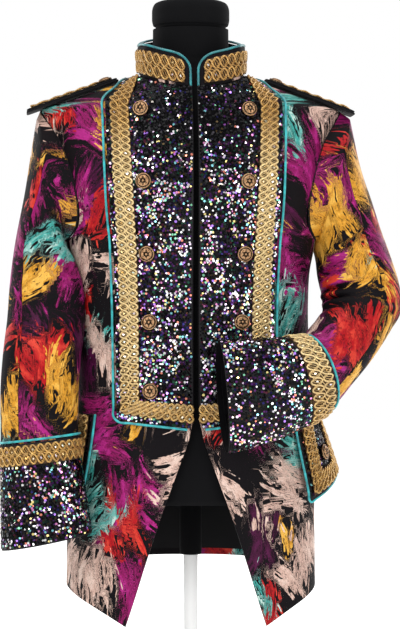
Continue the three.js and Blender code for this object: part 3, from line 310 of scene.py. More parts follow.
def buttonLook():
    dark, mid, light = shades("button")
    look = Look("antique_metal", Metallic=0.9, Specular_IOR_Level=0.5)
    relief = look.attribute("relief", "Fac")
    place = look.place()
    patina = look.noise(place, 700, 3)
    uneven = look.times(look.math("SUBTRACT", patina, 0.5), 0.5)
    raised = look.ramp(look.add(relief, uneven), 0.22, 0.8)
    shade = look.mix(raised, dark, mid)
    look.colour(look.mix(look.ramp(patina, 0.5, 0.72, 0, 0.6), shade, light))
    look.roughness(look.ramp(raised, 0, 1, 0.6, 0.3))
    look.bump(patina, 0.25, 0.0003)
    return look.material


def boardLook():
    look = Look("board_cloth", Roughness=0.85, Specular_IOR_Level=0.15, Sheen_Weight=0.04)
    place = look.place()
    felt = look.noise(place, 750, 3)
    look.colour(look.mix(felt, *shades("board")))
    look.bump(felt, 0.45, 0.0006)
    return look.material


def lacquerLook():
    look = Look("white_lacquer", Roughness=0.45, Coat_Weight=0.15, Coat_Roughness=0.15)
    place = look.place()
    peel = look.noise(place, 260, 2)
    look.colour(look.mix(look.noise(place, 9, 2), *shades("lacquer")))
    look.bump(peel, 0.08, 0.0003)
    return look.material


looks = {
    "brocade": brocadeLook(), "lining": liningLook(), "velvet": velvetLook(), "spangles": sequinLook(),
    "net": netLook(), "gold": goldLook("gold", "gold_gimp", metal=0.8, rough=0.3, pale=plainTones["goldPaintedHighlight"]),
    "tape": goldLook("tape", "gold_tape", metal=0.4, rough=0.55),
    "piping": pipingLook(), "button": buttonLook(), "board": boardLook(), "lacquer": lacquerLook(),
}
print("materials ready")


# The jacket's form, from the same tables as the solids

# A smooth curve through a table's values that never swings past them
def tableCurve(places, levels):
    at, level = np.array(places, float), np.array(levels, float)
    rise = np.diff(level) / np.diff(at)
    before, after = np.concatenate([rise[:1], rise]), np.concatenate([rise, rise[-1:]])
    same = before * after > 0
    slope = np.where(same, 2 * before * after / np.where(same, before + after, 1), 0)

    def value(x):
        x = np.clip(np.asarray(x, float), at[0], at[-1])
        i = np.clip(np.searchsorted(at, x) - 1, 0, len(at) - 2)
        span = at[i + 1] - at[i]
        t = (x - at[i]) / span
        start = level[i] * (1 + 2 * t) * (1 - t) ** 2 + slope[i] * span * t * (1 - t) ** 2
        return start + level[i + 1] * t * t * (3 - 2 * t) + slope[i + 1] * span * t * t * (t - 1)
    return value


# One curve for each named column of a table, over its first column if that is the key, or over its rows
def columnsOf(rows, names, key=False):
    data = np.array(rows, float)
    at = data[:, 0] if key else np.arange(len(rows))
    return {name: tableCurve(at, data[:, i + (1 if key else 0)]) for i, name in enumerate(names)}


# Height, half width, depth to the front and to the back, squareness
bodySections = [
    (40, 189, 140, 132, 2.4), (125, 189, 138, 130, 2.4), (265, 189, 132, 125, 2.4), (400, 187, 126, 118, 2.4),
    (480, 183, 118, 106, 2.4), (560, 180, 112, 98, 2.4), (620, 184, 116, 103, 2.4), (668, 190, 122, 110, 2.4),
    (740, 200, 125, 120, 2.3), (810, 213, 119, 116, 2.05), (867, 229, 103, 102, 1.75), (880, 193, 98, 97, 1.78),
    (893, 157, 92, 91, 1.82), (907, 118, 86, 86, 1.92), (922, 77, 80, 79, 2), (945, 74, 74, 70, 2),
]
# Inner x, inner height, outer angle, outer height, bow
frontRows = [
    (106, 85, 94.85, 140, 12), (95, 118, 94.85, 166, 8), (74, 185, 94.85, 218, 3), (52, 252, 94.85, 270, 0),
    (28, 318, 94.85, 325, 0), (9, 374, 94.85, 375, 0), (3.5, 415, 94.85, 415, 0), (3.5, 485, 94.85, 485, 0),
    (3.5, 560, 94.85, 560, 0), (3.5, 620, 94.85, 618, 0), (3.5, 668, 94.85, 663, 0), (3.5, 696, 74, 671, 0),
    (3.5, 728, 62, 690, 0), (3.5, 762, 59.5, 717, 0), (3.5, 798, 61.5, 752, 0), (3.5, 832, 65, 787, 0),
    (3.5, 862, 69.5, 818, 0), (3.5, 884, 74, 838, 0), (3.5, 897, 79, 852, 0), (26, 898.5, 83.5, 860, 0),
    (48, 902.5, 86.5, 864, 0), (66, 909.5, 88.3, 866, 0), (74.5, 916, 89.2, 866.8, 0), (77, 922, 89.7, 867, 0),
]
backRows = [
    (3, 169, 85, 140, 8), (2, 205, 85, 184, 5), (0.6, 262, 85, 250, 0), (0.4, 335, 85, 330, 0),
    (0.4, 415, 85, 415, 0), (0.4, 485, 85, 485, 0), (0.4, 560, 85, 560, 0), (0.4, 622, 85, 618, 0),
    (0.4, 672, 85, 663, 0), (0.4, 706, 72, 673, 0), (0.4, 744, 62, 695, 0), (0.4, 784, 61, 722, 0),
    (0.4, 822, 63, 757, 0), (0.4, 860, 66, 792, 0), (0.4, 895, 70, 822, 0), (0.4, 922, 75, 843, 0),
    (0.4, 940, 80, 854, 0), (26, 939, 84, 861, 0), (48, 936, 87, 865, 0), (66, 931, 88.6, 866.4, 0),
    (74, 926.5, 89.3, 866.9, 0), (77, 922, 89.7, 867, 0),
]
panelNames = ["innerX", "innerZ", "outerAngle", "outerZ", "bow"]
bodyCurve = columnsOf(bodySections, ["halfWidth", "front", "back", "square"], key=True)
frontCurves, backCurves = columnsOf(frontRows, panelNames), columnsOf(backRows, panelNames)


def xyz(x, y, z):
    return np.stack(np.broadcast_arrays(x, y, z), axis=-1).astype(float)


def unit(v):
    return v / np.maximum(np.linalg.norm(v, axis=-1, keepdims=True), 1e-12)


# How far along a line of points each of them lies
def runOf(line):
    return np.concatenate([[0], np.cumsum(np.linalg.norm(np.diff(line, axis=0), axis=1))])


# Points between those of a line, from the places that the line's own points have
def pointsAt(at, places, line):
    return np.stack([np.interp(at, places, line[:, k]) for k in range(line.shape[1])], -1)


# The body's outline: degrees from the front's middle at a height, and the angle that has a given x
def torso(angle, height):
    turn = np.radians(angle)
    power = 2 / bodyCurve["square"](height)
    ahead = np.asarray(angle) < 90
    depth = np.where(ahead, bodyCurve["front"](height), bodyCurve["back"](height))
    x = bodyCurve["halfWidth"](height) * np.abs(np.sin(turn)) ** power
    y = depth * np.abs(np.cos(turn)) ** power
    return xyz(x, np.where(ahead, -y, y), height)


def angleOf(x, height):
    share = np.minimum(1, x / bodyCurve["halfWidth"](height))
    return np.minimum(89.6, np.degrees(np.arcsin(share ** (bodyCurve["square"](height) / 2))))


# A point of a body panel, from its inner edge to its side seam and from its hem to its neck
def panelPoint(curves, across, row, side, isBack):
    innerAngle = angleOf(curves["innerX"](row), curves["innerZ"](row))
    angle = innerAngle + (curves["outerAngle"](row) - innerAngle) * across
    height = curves["innerZ"](row) * (1 - across) + curves["outerZ"](row) * across
    point = torso(180 - angle if isBack else angle, height + curves["bow"](row) * 4 * across * (1 - across))
    point[..., 0] *= side
    return point


# Soft waves over a pair of coordinates in millimetres, always the same for one seed
def softWaves(x, y, seed, size, count=6):
    rng = np.random.default_rng(seed)
    total = 0
    for _ in range(count):
        turn, phase, length = rng.uniform(0, math.tau), rng.uniform(0, math.tau), size * rng.uniform(0.6, 1.6)
        total = total + np.sin((x * math.cos(turn) + y * math.sin(turn)) * math.tau / length + phase)
    return total / count


bodyDrape = {"waves": 2.0, "waveSize": 260, "pulls": 1.6, "pullsAt": 640, "hem": 3.0, "hemFrom": 430, "stillAbove": 905}


# How far the cloth of the body stands out or in by its soft folds, from where it is
def drapeAt(p):
    x, y, z = p[..., 0], p[..., 1], p[..., 2]
    low = np.clip((bodyDrape["hemFrom"] - z) / 300, 0, 1)
    side = np.clip((np.abs(x) - 118) / 50, 0, 1)
    waves = softWaves(x * 1.4 + y * 0.4, z * 0.45, 11, bodyDrape["waveSize"]) * bodyDrape["waves"] * (0.35 + low)
    nearWaist = np.exp(-((z - bodyDrape["pullsAt"]) / 60) ** 2)
    pull = np.sin((z - 0.55 * np.abs(x)) / 17) * nearWaist * side * bodyDrape["pulls"]
    hang = np.sin(np.abs(x) / 24 + 0.6) * bodyDrape["hem"] * low * low * np.where(y < 0, 1, 0.4)
    quiet = np.clip((bodyDrape["stillAbove"] - z) / 60, 0, 1)
    return (waves + pull + hang * side) * quiet


# Unit normals of a surface at its parameters, turned away from a centre line
def normalsOf(surface, u, v, span, centre, wraps=False):
    step = 0.004
    left = surface(u - step if wraps else np.maximum(span[0], u - step), v)
    right = surface(u + step if wraps else np.minimum(span[1], u + step), v)
    below, above = surface(u, np.maximum(span[2], v - step)), surface(u, np.minimum(span[3], v + step))
    n = unit(np.cross(right - left, above - below))
    middleU, middleV = (span[0] + span[1]) / 2, (span[2] + span[3]) / 2
    near = lambda a, b: surface(np.array([middleU + a * step]), np.array([middleV + b * step]))[0]
    facing = np.cross(near(1, 0) - near(-1, 0), near(0, 1) - near(0, -1))
    return n * np.sign(np.dot(facing, near(0, 0) - centre(middleV)))


bodyCentre = lambda v: np.array([0, 0, 500.0])


# A made surface: its points and normals at given parameters, with the body's soft folds in it
class Sheet:
    def __init__(self, surface, span, centre=bodyCentre, wraps=False, drape=None):
        self.surface, self.span, self.centre, self.wraps, self.drape = surface, span, centre, wraps, drape

    def at(self, u, v, lift=0):
        p = self.surface(u, v)
        n = normalsOf(self.surface, u, v, self.span, self.centre, self.wraps)
        fold = self.drape(p) if self.drape else 0
        return p + n * (np.asarray(lift + fold))[..., None], n


# Meshes

def meshObject(name, points, faces, materials, uv=None, faceMaterial=None, attributes=(), smooth=True, sharp=50):
    mesh = bpy.data.meshes.new(name)
    points = np.asarray(points, float) * mm
    mesh.from_pydata(points.tolist(), [], faces if isinstance(faces, list) else faces.tolist())
    for material in materials:
        mesh.materials.append(material)
    if faceMaterial is not None:
        mesh.polygons.foreach_set("material_index", np.asarray(faceMaterial, np.int32))
    if uv is not None:
        layer = mesh.uv_layers.new(name="UVMap")
        corner = np.empty(len(mesh.loops), np.int32)
        mesh.loops.foreach_get("vertex_index", corner)
        layer.data.foreach_set("uv", (np.asarray(uv, float)[corner] * mm).astype(np.float32).ravel())
    for label, kind, values in attributes:
        made = mesh.attributes.new(label, kind, "POINT")
        field = {"FLOAT": "value", "FLOAT_VECTOR": "vector", "FLOAT_COLOR": "color"}[kind]
        made.data.foreach_set(field, np.asarray(values, np.float32).ravel())
    mesh.polygons.foreach_set("use_smooth", np.full(len(mesh.polygons), smooth))
    if smooth and sharp:
        mesh.set_sharp_from_angle(angle=math.radians(sharp))
    mesh.update()
    made = bpy.data.objects.new(name, mesh)
    bpy.context.scene.collection.objects.link(made)
    return made


# Four-sided faces between rows of points
def ringQuads(count, rows, closed):
    row, column = np.meshgrid(np.arange(rows - 1), np.arange(count if closed else count - 1), indexing="ij")
    a, b = row * count + column, row * count + (column + 1) % count
    return np.stack([a, b, b + count, a + count], -1).reshape(-1, 4)


# Faces of a stack of rings, closed at both ends
def stackFaces(count, rows):
    ends = [list(range(count))[::-1], [(rows - 1) * count + k for k in range(count)]]
    return ringQuads(count, rows, True).tolist() + ends


def arcLengths(p):
    du = np.zeros(p.shape[:2])
    du[:, 1:] = np.linalg.norm(np.diff(p, axis=1), axis=-1)
    dv = np.zeros(p.shape[:2])
    dv[1:] = np.linalg.norm(np.diff(p, axis=0), axis=-1)
    return np.cumsum(du, axis=1), np.cumsum(dv, axis=0)


# A cloth wall with an outer and an inner face, each with its material. The first turnedRows rows of
# the inner face have the outer one's. The object holds the cut: width, length and area.
def clothWall(name, sheet, across, along, materials, lift=0, thickness=clothThickness, closed=False,
              paintSeed=None, turnedRows=0, printAt=None, plain=None):
    u, v = np.meshgrid(across, along)
    inner, n = sheet.at(u, v, lift)
    outer = inner + n * thickness
    rows, count = u.shape
    total = rows * count
    quads = ringQuads(count, rows, closed)
    inside = np.where(np.arange(len(quads)) < turnedRows * count, 0, 1)
    faces, material = [quads + total, quads[:, ::-1]], [np.zeros(len(quads)), inside]

    def rim(line):
        border = np.stack([line[:-1], line[1:], line[1:] + total, line[:-1] + total], -1)
        faces.append(border)
        material.append(np.ones(len(border)))
    low, high = np.arange(count), np.arange(count) + (rows - 1) * count
    if closed:
        low, high = np.append(low, low[:1]), np.append(high, high[:1])
    rim(low)
    rim(high[::-1])
    if not closed:
        rim((np.arange(rows) * count)[::-1])
        rim(np.arange(rows) * count + count - 1)
    faces = np.concatenate(faces)
    points = np.concatenate([inner.reshape(-1, 3), outer.reshape(-1, 3)])
    corner = points[faces]
    volume = sum(np.sum(corner[:, 0] * np.cross(corner[:, k], corner[:, k + 1])) for k in (1, 2))
    if volume < 0:
        faces = faces[:, ::-1]
    width, length = arcLengths(outer)
    uv = np.stack([width, length], -1).reshape(-1, 2)
    attributes = ()
    if paintSeed is not None:
        laid = printAt(outer, u, v).reshape(-1, 2) if printAt else uv
        bare = plain(u, v).ravel() if plain else None
        attributes = paintFields(laid, paintSeed, bare, "sleeves" if printAt else "body")
    attributes = [(label, kind, np.concatenate([values, values])) for label, kind, values in attributes]
    made = meshObject(name, points, faces, materials, np.concatenate([uv, uv]), np.concatenate(material), attributes)
    cell = outer[:-1, :-1], outer[:-1, 1:], outer[1:, 1:], outer[1:, :-1]
    area = 0.5 * np.linalg.norm(np.cross(cell[2] - cell[0], cell[3] - cell[1]), axis=-1).sum()
    if closed:
        last = np.cross(outer[1:, 0] - outer[:-1, -1], outer[1:, -1] - outer[:-1, 0])
        area += 0.5 * np.linalg.norm(last, axis=-1).sum()
    made["cut"] = [float(width[:, -1].max() * mm), float(length[-1].max() * mm), float(area * mm * mm)]
    return made


def finishCloth(piece, node):
    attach(piece, "root")
    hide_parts(*([node] if isinstance(node, str) else node))
    width, length, area = piece["cut"]
    min(area, width * length)
    del piece["cut"]


def finishPiece(piece, slot, *nodes):
    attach(piece, "root")
    if nodes:
        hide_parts(*nodes)
    return piece


# The brush print: patches laid out at random over the cut of one piece of cloth, each made of
# a few dry strokes that fan out. The fields give how deep a point lies inside each colour, in mm.
printLayout = {
    "cellWidth": 74, "cellHeight": 92, "strokes": (3, 6), "half": (10, 18), "reach": (28, 54), "fan": 30,
    "endShare": 0.4, "beside": 1.2, "leans": (62, 80, 104, 48, -34, 128),
    "body": (
        "magenta", "blush", "teal", "gold", "red", "magenta", "blush", "plum", "teal", "blush", "magenta", "blush",
    ),
    "sleeves": (
        "magenta", "gold", "red", "red", "magenta", "magenta", "gold", "plum", "teal", "gold", "magenta", "blush",
    ),
    "accents": 0.65, "missing": 0.1,
}
paintOrder = ("magenta", "teal", "gold", "blush", "red", "plum")


def paintFields(uv, seed, plain, colours):
    rng = np.random.default_rng(seed)
    lay, order = printLayout, printLayout[colours]
    x, y = uv[:, 0], uv[:, 1]
    field = {colour: np.full(len(x), -60.0) for colour in paintOrder}
    stroke, best = np.zeros((len(x), 3)), np.full(len(x), -1e9)
    columns, rows = int(x.max() // lay["cellWidth"]) + 2, int(y.max() // lay["cellHeight"]) + 2
    start, number = int(rng.integers(len(order))), 0
    for row in range(rows):
        for column in range(columns):
            spots = 2 if rng.random() < lay["accents"] else 1
            for spot in range(spots):
                place = (column + rng.uniform(-0.2, 0.5) + 0.5 * (row % 2) - 0.25, row + rng.uniform(0.0, 0.8))
                size = 0.6 if spot else 1
                colour = order[(start + 5 * column + 3 * row + 4 * spot + int(rng.integers(2))) % len(order)]
                lean = float(rng.choice(lay["leans"]))
                missing = rng.random() < lay["missing"]
                strokes = int(rng.integers(*lay["strokes"])) - (1 if spot else 0)
                for k in range(strokes):
                    half, reach = rng.uniform(*lay["half"]) * size, rng.uniform(*lay["reach"]) * size
                    turn = math.radians(lean + rng.uniform(-1, 1) * lay["fan"])
                    away = (k - (strokes - 1) / 2) * half * lay["beside"] + rng.uniform(-3, 3)
                    along = rng.uniform(-14, 14) * size
                    number += 1
                    if missing:
                        continue
                    main = math.radians(lean)
                    dx = x - place[0] * lay["cellWidth"] - along * math.cos(main) + away * math.sin(main)
                    dy = y - place[1] * lay["cellHeight"] - along * math.sin(main) - away * math.cos(main)
                    s, t = dx * math.cos(turn) + dy * math.sin(turn), dy * math.cos(turn) - dx * math.sin(turn)
                    t = t + 0.004 * s * s * (1 if number % 2 else -1)
                    deep = np.minimum(half - np.abs(t), (reach - np.abs(s)) * lay["endShare"])
                    field[colour] = np.maximum(field[colour], deep)
                    own = deep > best  # the deepest stroke gives the brush direction
                    best[own] = deep[own]
                    stroke[own] = xyz(s + 173.0 * number, t + 61.0 * number, 3.7 * number)[own]
    if plain is not None:
        for colour in paintOrder:
            field[colour][plain] = -60
    groups = [np.stack([field[c] for c in paintOrder[i:i + 3]], -1) for i in (0, 3)]
    return [(label, "FLOAT_VECTOR", values) for label, values in zip(("paintA", "paintB", "stroke"), (*groups, stroke))]


# Tubes along lines of points, with a guide direction that keeps their section from twisting
class Parts:
    def __init__(self):
        self.points, self.faces, self.uv, self.count = [], [], [], 0

    def add(self, points, faces, uv):
        self.points.append(points)
        self.faces.append(faces + self.count)
        self.uv.append(uv)
        self.count += len(points)

    def tube(self, line, guide, radius, around=6, flat=1.0, closed=False):
        line = np.asarray(line, float)
        if closed:
            tangent = unit(np.roll(line, -1, 0) - np.roll(line, 1, 0))
        else:
            tangent = unit(np.gradient(line, axis=0))
        guide = np.broadcast_to(guide, line.shape)
        beside = unit(np.cross(tangent, guide))
        up = np.cross(beside, tangent)
        turn = np.arange(around) * math.tau / around
        size = np.broadcast_to(radius, (len(line),))[:, None, None]
        wide, tall = np.cos(turn)[None, :, None] * beside[:, None], flat * np.sin(turn)[None, :, None] * up[:, None]
        points = (line[:, None] + size * (wide + tall)).reshape(-1, 3)
        quads = ringQuads(around, len(line), True)
        if closed:
            last = (len(line) - 1) * around
            k = np.arange(around)
            quads = np.concatenate([quads, np.stack([last + k, last + (k + 1) % around, (k + 1) % around, k], -1)])
        uv = np.broadcast_arrays(runOf(line)[:, None], (turn * np.mean(radius))[None, :])
        uv = np.stack(uv, -1).reshape(-1, 2)
        base = self.count
        self.add(points, quads[:, ::-1], uv)
        if not closed:
            reach = np.broadcast_to(radius, (len(line),)) * 0.4
            self.tip(np.arange(around) + base, line[0] - tangent[0] * reach[0])
            lastRing = np.arange(around) + base + (len(line) - 1) * around
            self.tip(lastRing[::-1], line[-1] + tangent[-1] * reach[-1])

    def tip(self, ring, point):
        self.faces.append(np.stack([ring, np.roll(ring, -1), np.full(len(ring), self.count)], -1))
        self.points.append(point[None])
        self.uv.append(np.zeros((1, 2)))
        self.count += 1

    def build(self, name, material, sharp=0):
        faces = [face for block in self.faces for face in block.tolist()]
        return meshObject(name, np.concatenate(self.points), faces, [material], np.concatenate(self.uv), sharp=sharp)


# Camera and light, at the photograph's viewing angle

photoCamera = {"at": (-0.2506, -3.7919, 0.553), "turn": -4, "lens": 220.6, "sensor": 36, "farthest": 60}


def addCamera():
    data = bpy.data.cameras.new("camera")
    data.sensor_fit, data.sensor_width, data.lens = "HORIZONTAL", photoCamera["sensor"], photoCamera["lens"]
    data.clip_end = photoCamera["farthest"]
    camera = bpy.data.objects.new("camera", data)
    camera.location = photoCamera["at"]
    camera.rotation_euler = (math.radians(90), 0, math.radians(photoCamera["turn"]))
    bpy.context.scene.collection.objects.link(camera)
    bpy.context.scene.camera = camera


studio = {
    "key": {"at": (-1.9, -2.9, 2.6), "size": (1.5, 1.5), "watts": 62},
    "fill": {"at": (2.4, -2.8, 1.3), "size": (1.6, 2.0), "watts": 34},
    "top": {"at": (0.0, -0.4, 3.2), "size": (2.4, 1.6), "watts": 40},
    "backLeft": {"at": (-2.2, 2.2, 1.8), "size": (1.4, 1.8), "watts": 30},
    "backRight": {"at": (2.2, 2.2, 1.8), "size": (1.4, 1.8), "watts": 30},
    "sky": 0.55, "floor": {"half": 9.0, "top": -0.0005, "glow": 0.45},
}


def addStudio():
    for name, light in studio.items():
        if name in ("sky", "floor"):
            continue
        data = bpy.data.lights.new(name, "AREA")
        data.shape, data.size, data.size_y = "RECTANGLE", *light["size"]
        data.energy = light["watts"]
        lamp = bpy.data.objects.new(name, data)
        lamp.location = light["at"]
        lamp.rotation_euler = (Vector((0, 0, 0.6)) - Vector(light["at"])).to_track_quat("-Z", "Y").to_euler()
        bpy.context.scene.collection.objects.link(lamp)
    world = bpy.data.worlds.new("studio")
    world.use_nodes = True
    tree = world.node_tree
    tree.nodes.clear()
    path, output = tree.nodes.new("ShaderNodeLightPath"), tree.nodes.new("ShaderNodeOutputWorld")
    seen, shared = tree.nodes.new("ShaderNodeBackground"), tree.nodes.new("ShaderNodeBackground")
    seen.inputs[0].default_value, seen.inputs[1].default_value = (1, 1, 1, 1), 1.0
    shared.inputs[0].default_value, shared.inputs[1].default_value = (1, 1, 1, 1), studio["sky"]
    choice = tree.nodes.new("ShaderNodeMixShader")
    tree.links.new(path.outputs["Is Camera Ray"], choice.inputs[0])
    tree.links.new(shared.outputs[0], choice.inputs[1])
    tree.links.new(seen.outputs[0], choice.inputs[2])
    tree.links.new(choice.outputs[0], output.inputs[0])
    bpy.context.scene.world = world
    bpy.context.scene.view_settings.view_transform = "Standard"
    paper = studio["floor"]
    corners = [(x * paper["half"], y * paper["half"], paper["top"]) for x, y in ((-1, -1), (1, -1), (1, 1), (-1, 1))]
    mesh = bpy.data.meshes.new("floor")
    mesh.from_pydata(corners, [], [(0, 1, 2, 3)])
    look = Look("floor_paper", Roughness=0.9, Specular_IOR_Level=0.1, Emission_Color=(1, 1, 1, 1),
                Emission_Strength=paper["glow"])
    grain = look.noise(look.place(), 60, 2)
    look.colour(look.mix(grain, *shades("paper")))
    mesh.materials.append(look.material)
    floor = bpy.data.objects.new("floor", mesh)
    bpy.context.scene.collection.objects.link(floor)
    floor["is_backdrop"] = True


addCamera()
addStudio()
print("camera and light ready")


# Body panels in brocade, with a black inner face. The front edges have no print above the row
# plainFrom, and at the back's hem the brocade is turned in.

bodyCloth = {
    "across": 80, "perRow": 9, "turnedRows": 8, "plainEdge": 0.045, "plainFrom": 5.6,
    "seeds": {"front_left": 21, "front_right": 34, "back_left": 55, "back_right": 71},
}


def frontEdge(u, v):
    return (u < bodyCloth["plainEdge"]) & (v > bodyCloth["plainFrom"])


def addBodyPanels():
    made = {}
    for side, name in sides.items():
        for part, curves, rows in (("front", frontCurves, frontRows), ("back", backCurves, backRows)):
            surface = lambda u, v, c=curves, s=side, b=part == "back": panelPoint(c, u, v, s, b)
            last = len(rows) - 1
            sheet = Sheet(surface, (0, 1, 0, last), drape=drapeAt)
            across = np.linspace(0, 1, bodyCloth["across"])
            along = np.linspace(0, last, last * bodyCloth["perRow"] + 1)
            piece = clothWall(f"{part}_panel_{name}", sheet, across, along, [looks["brocade"], looks["lining"]],
                              paintSeed=bodyCloth["seeds"][f"{part}_{name}"],
                              turnedRows=bodyCloth["turnedRows"] if part == "back" else 0,
                              plain=frontEdge if part == "front" else None)
            made[f"{part}_{name}"] = piece
    return made


# Share of the skirt's width and rows from the hem that it covers, and where it is from the cloth
skirtCloth = {"reach": 0.985, "rows": (0.3, 3.6), "columns": 121, "rings": 30, "lift": -1.7, "thickness": 1.1}


def addLining():
    half = lambda u, v, side: panelPoint(backCurves, np.abs(u), v, side, True)
    surface = lambda u, v: np.where(u[..., None] < 0, half(u, v, -1), half(u, v, 1))
    sheet = Sheet(surface, (-1, 1, 0, len(backRows) - 1), drape=drapeAt)
    c = skirtCloth
    across, along = np.linspace(-c["reach"], c["reach"], c["columns"]), np.linspace(*c["rows"], c["rings"])
    return clothWall("skirt_lining", sheet, across, along, [looks["lining"], looks["lining"]],
                     c["lift"], c["thickness"])


panels = addBodyPanels()
skirtLining = addLining()
print("body panels made")


# The front at a distance from the centre line and a height

def frontPoint(x, height, side):
    x, height = np.broadcast_arrays(np.asarray(x, float), np.asarray(height, float))
    level = height.copy()
    for _ in range(160):
        wide = bodyCurve["halfWidth"](level) < x * 1.004
        if not wide.any():
            break
        level = np.where(wide, level - 0.5, level)
    point = torso(angleOf(x, level), level)
    point[..., 0] *= side
    return point


sequinFrontRows = [
    (5, 117, 0.003), (6, 117.5, 0.003), (8, 119, 0.003), (10, 123, 0.003), (13, 129, 0.003), (16, 133, 0.003),
    (18, 134, 0.006), (19, 130, 0.012), (20, 120, 0.02), (21, 109, 0.035), (23, 97, 0.04),
]
hemRows, topRow = {"centre": 5.2, "corner": 5.55}, 23
sequinCurves = columnsOf(sequinFrontRows, ["edgeX", "inset"], key=True)


# How far across a front panel's row a given x lies
def shareAt(x, row):
    low, high = np.zeros(np.shape(row)), np.ones(np.shape(row))
    for _ in range(22):
        middle = (low + high) / 2
        less = panelPoint(frontCurves, middle, row, 1, False)[..., 0] < x
        low, high = np.where(less, middle, low), np.where(less, high, middle)
    return (low + high) / 2


rowGrid = np.linspace(5, topRow, 361)
shareGrid = shareAt(sequinCurves["edgeX"](rowGrid), rowGrid)


def sequinFrontSurface(side):
    def surface(across, row):
        hem = hemRows["centre"] + (hemRows["corner"] - hemRows["centre"]) * across
        level = np.where(row < 6, hem + (6 - hem) * (row - hemRows["centre"]) / (6 - hemRows["centre"]), row)
        inset = sequinCurves["inset"](level)
        share = inset + (np.interp(level, rowGrid, shareGrid) - inset) * across
        return panelPoint(frontCurves, share, level, side, False)
    return surface


# Sequins: small flat hexagons in staggered rows, each with its own tilt and colour. The bright ones stand for glints:
# painted highlights. onFronts holds the share of bright ones at the top of the fronts, and what it gains over dimOver
# mm below dimFrom: the fronts' top is painted in shade and their middle is painted lit.

sequinKinds = {
    "dark": ("030204", "050308", "020405", "07030a", "030504", "050305"),
    "deep": ("3a1450", "17402f", "451628", "1e1b52", "3c2f18", "4c2159", "120a22", "0c1c17"),
    "bright": (
        "ffffff", "f8f2ff", "f096d2", "96e6ba", "fbe896", "b684f4", "fa9880", "ffffff", "8edce6", "f6dcfa", "fff6ea",
    ),
    "radius": 2.1, "spacing": 3.15, "tilt": 0.3, "deepShare": 0.34,
    "onFronts": (0.03, 0.23), "onCuffs": 0.2, "onFlaps": 0.06, "dimFrom": 850, "dimOver": 110,
}


def evenly(share):
    return lambda p: share + 0 * p[:, 0]


# Six corners each, from a middle, two directions and a radius
def hexagons(p, a, b, radius):
    turns = [k * math.pi / 3 for k in range(6)]
    return np.stack([p + radius * (a * math.cos(turn) + b * math.sin(turn)) for turn in turns], 1)


def discMesh(name, discs, tints):
    faces = np.arange(len(discs) * 6).reshape(-1, 6)
    colours = [("tint", "FLOAT_COLOR", np.repeat(tints, 6, 0))]
    return meshObject(name, discs.reshape(-1, 3), faces, [looks["spangles"]], attributes=colours, smooth=False)


def sequinNet(name, sheet, across, along, closed=False):
    inside = looks["lining"] if closed else looks["net"]
    return clothWall(f"sequin_net_{name}", sheet, across, along, [looks["net"], inside],
                     sequinLift, sequinThickness, closed)


def addSequins(name, sheet, bright, seed, uRange=(0.01, 0.99), vRange=None, ring=False):
    rng = np.random.default_rng(seed)
    vRange = vRange or (sheet.span[2], sheet.span[3])
    fine = np.linspace(*vRange, 400)
    mid = (uRange[0] + uRange[1]) / 2
    run = runOf(sheet.surface(np.full(400, mid), fine))
    steps = int(run[-1] / (sequinKinds["spacing"] * 0.87))
    rows = np.interp((np.arange(steps) + 0.5) / steps * run[-1], run, fine)
    us, vs = [], []
    probe = np.linspace(*uRange, 40)
    for k, row in enumerate(rows):
        across = sheet.surface(probe, np.full(40, row))
        count = max(2, int(np.linalg.norm(np.diff(across, axis=0), axis=1).sum() / sequinKinds["spacing"]))
        share = (np.arange(count) + 0.25 + 0.5 * (k % 2)) / count
        us.append(uRange[0] + (uRange[1] - uRange[0]) * share)
        vs.append(np.full(count, row))
    u, v = np.concatenate(us), np.concatenate(vs)
    u = u + rng.normal(0, 0.12, len(u)) * (u.max() - u.min()) / max(len(us[0]), 1)
    u = u if ring else np.clip(u, *uRange)
    p, n = sheet.at(u, v, sequinLift + sequinThickness + 0.5 + rng.uniform(0, 0.8, len(u)))
    guide = unit(np.cross(n, np.array([0.3, 0.2, 1.0])))
    turn = rng.uniform(0, math.tau, len(u))[:, None]
    tilt = rng.normal(0, sequinKinds["tilt"], len(u))[:, None]
    a = guide * np.cos(turn) + np.cross(n, guide) * np.sin(turn)
    b = np.cross(n, a) * np.cos(tilt) + n * np.sin(tilt)
    radius = sequinKinds["radius"] * rng.uniform(0.6, 1.05, len(u))[:, None]
    # Bright discs are painted glints, gathered in soft clusters. Where they are few, as at the top of the fronts, fewer
    # discs get a deep tint, which paints shade there.
    cluster = softWaves(p[:, 0] + p[:, 1], p[:, 2], seed + 5, 34, 8) + 0.6 * softWaves(p[:, 0], p[:, 2], seed + 9, 90)
    paintedGlintShare = bright(p) * (1 + 1.6 * cluster)
    deepShare = sequinKinds["deepShare"] * np.clip(bright(p) / 0.16, 0.35, 1)
    pick, kind = rng.random(len(u)), rng.integers(0, 1000, len(u))
    tint = np.zeros((len(u), 4))
    for key, below in (("dark", 1), ("deep", paintedGlintShare + deepShare), ("bright", paintedGlintShare)):
        palette = np.array([tone(code) for code in sequinKinds[key]])
        tint = np.where((pick < below)[:, None], palette[kind % len(palette)], tint)
    return finishPiece(discMesh(f"sequins_{name}", hexagons(p, a, b, radius), tint), "sequins")


# Painted light on the fronts: few glints at the top, more lower down
def frontPaintedGlints(p):
    least, more = sequinKinds["onFronts"]
    return least + more * np.clip((sequinKinds["dimFrom"] - p[:, 2]) / sequinKinds["dimOver"], 0, 1)


sequinCloths = {}
for side, name in sides.items():
    sheet = Sheet(sequinFrontSurface(side), (0, 1, hemRows["centre"], topRow), drape=drapeAt)
    cloth = sequinNet(f"front_{name}", sheet, np.linspace(0, 1, 34), np.linspace(hemRows["centre"], topRow, 130))
    discs = addSequins(f"front_{name}", sheet, frontPaintedGlints, 100 + side)
    sequinCloths[name] = (cloth, discs)
print("sequin fronts made")


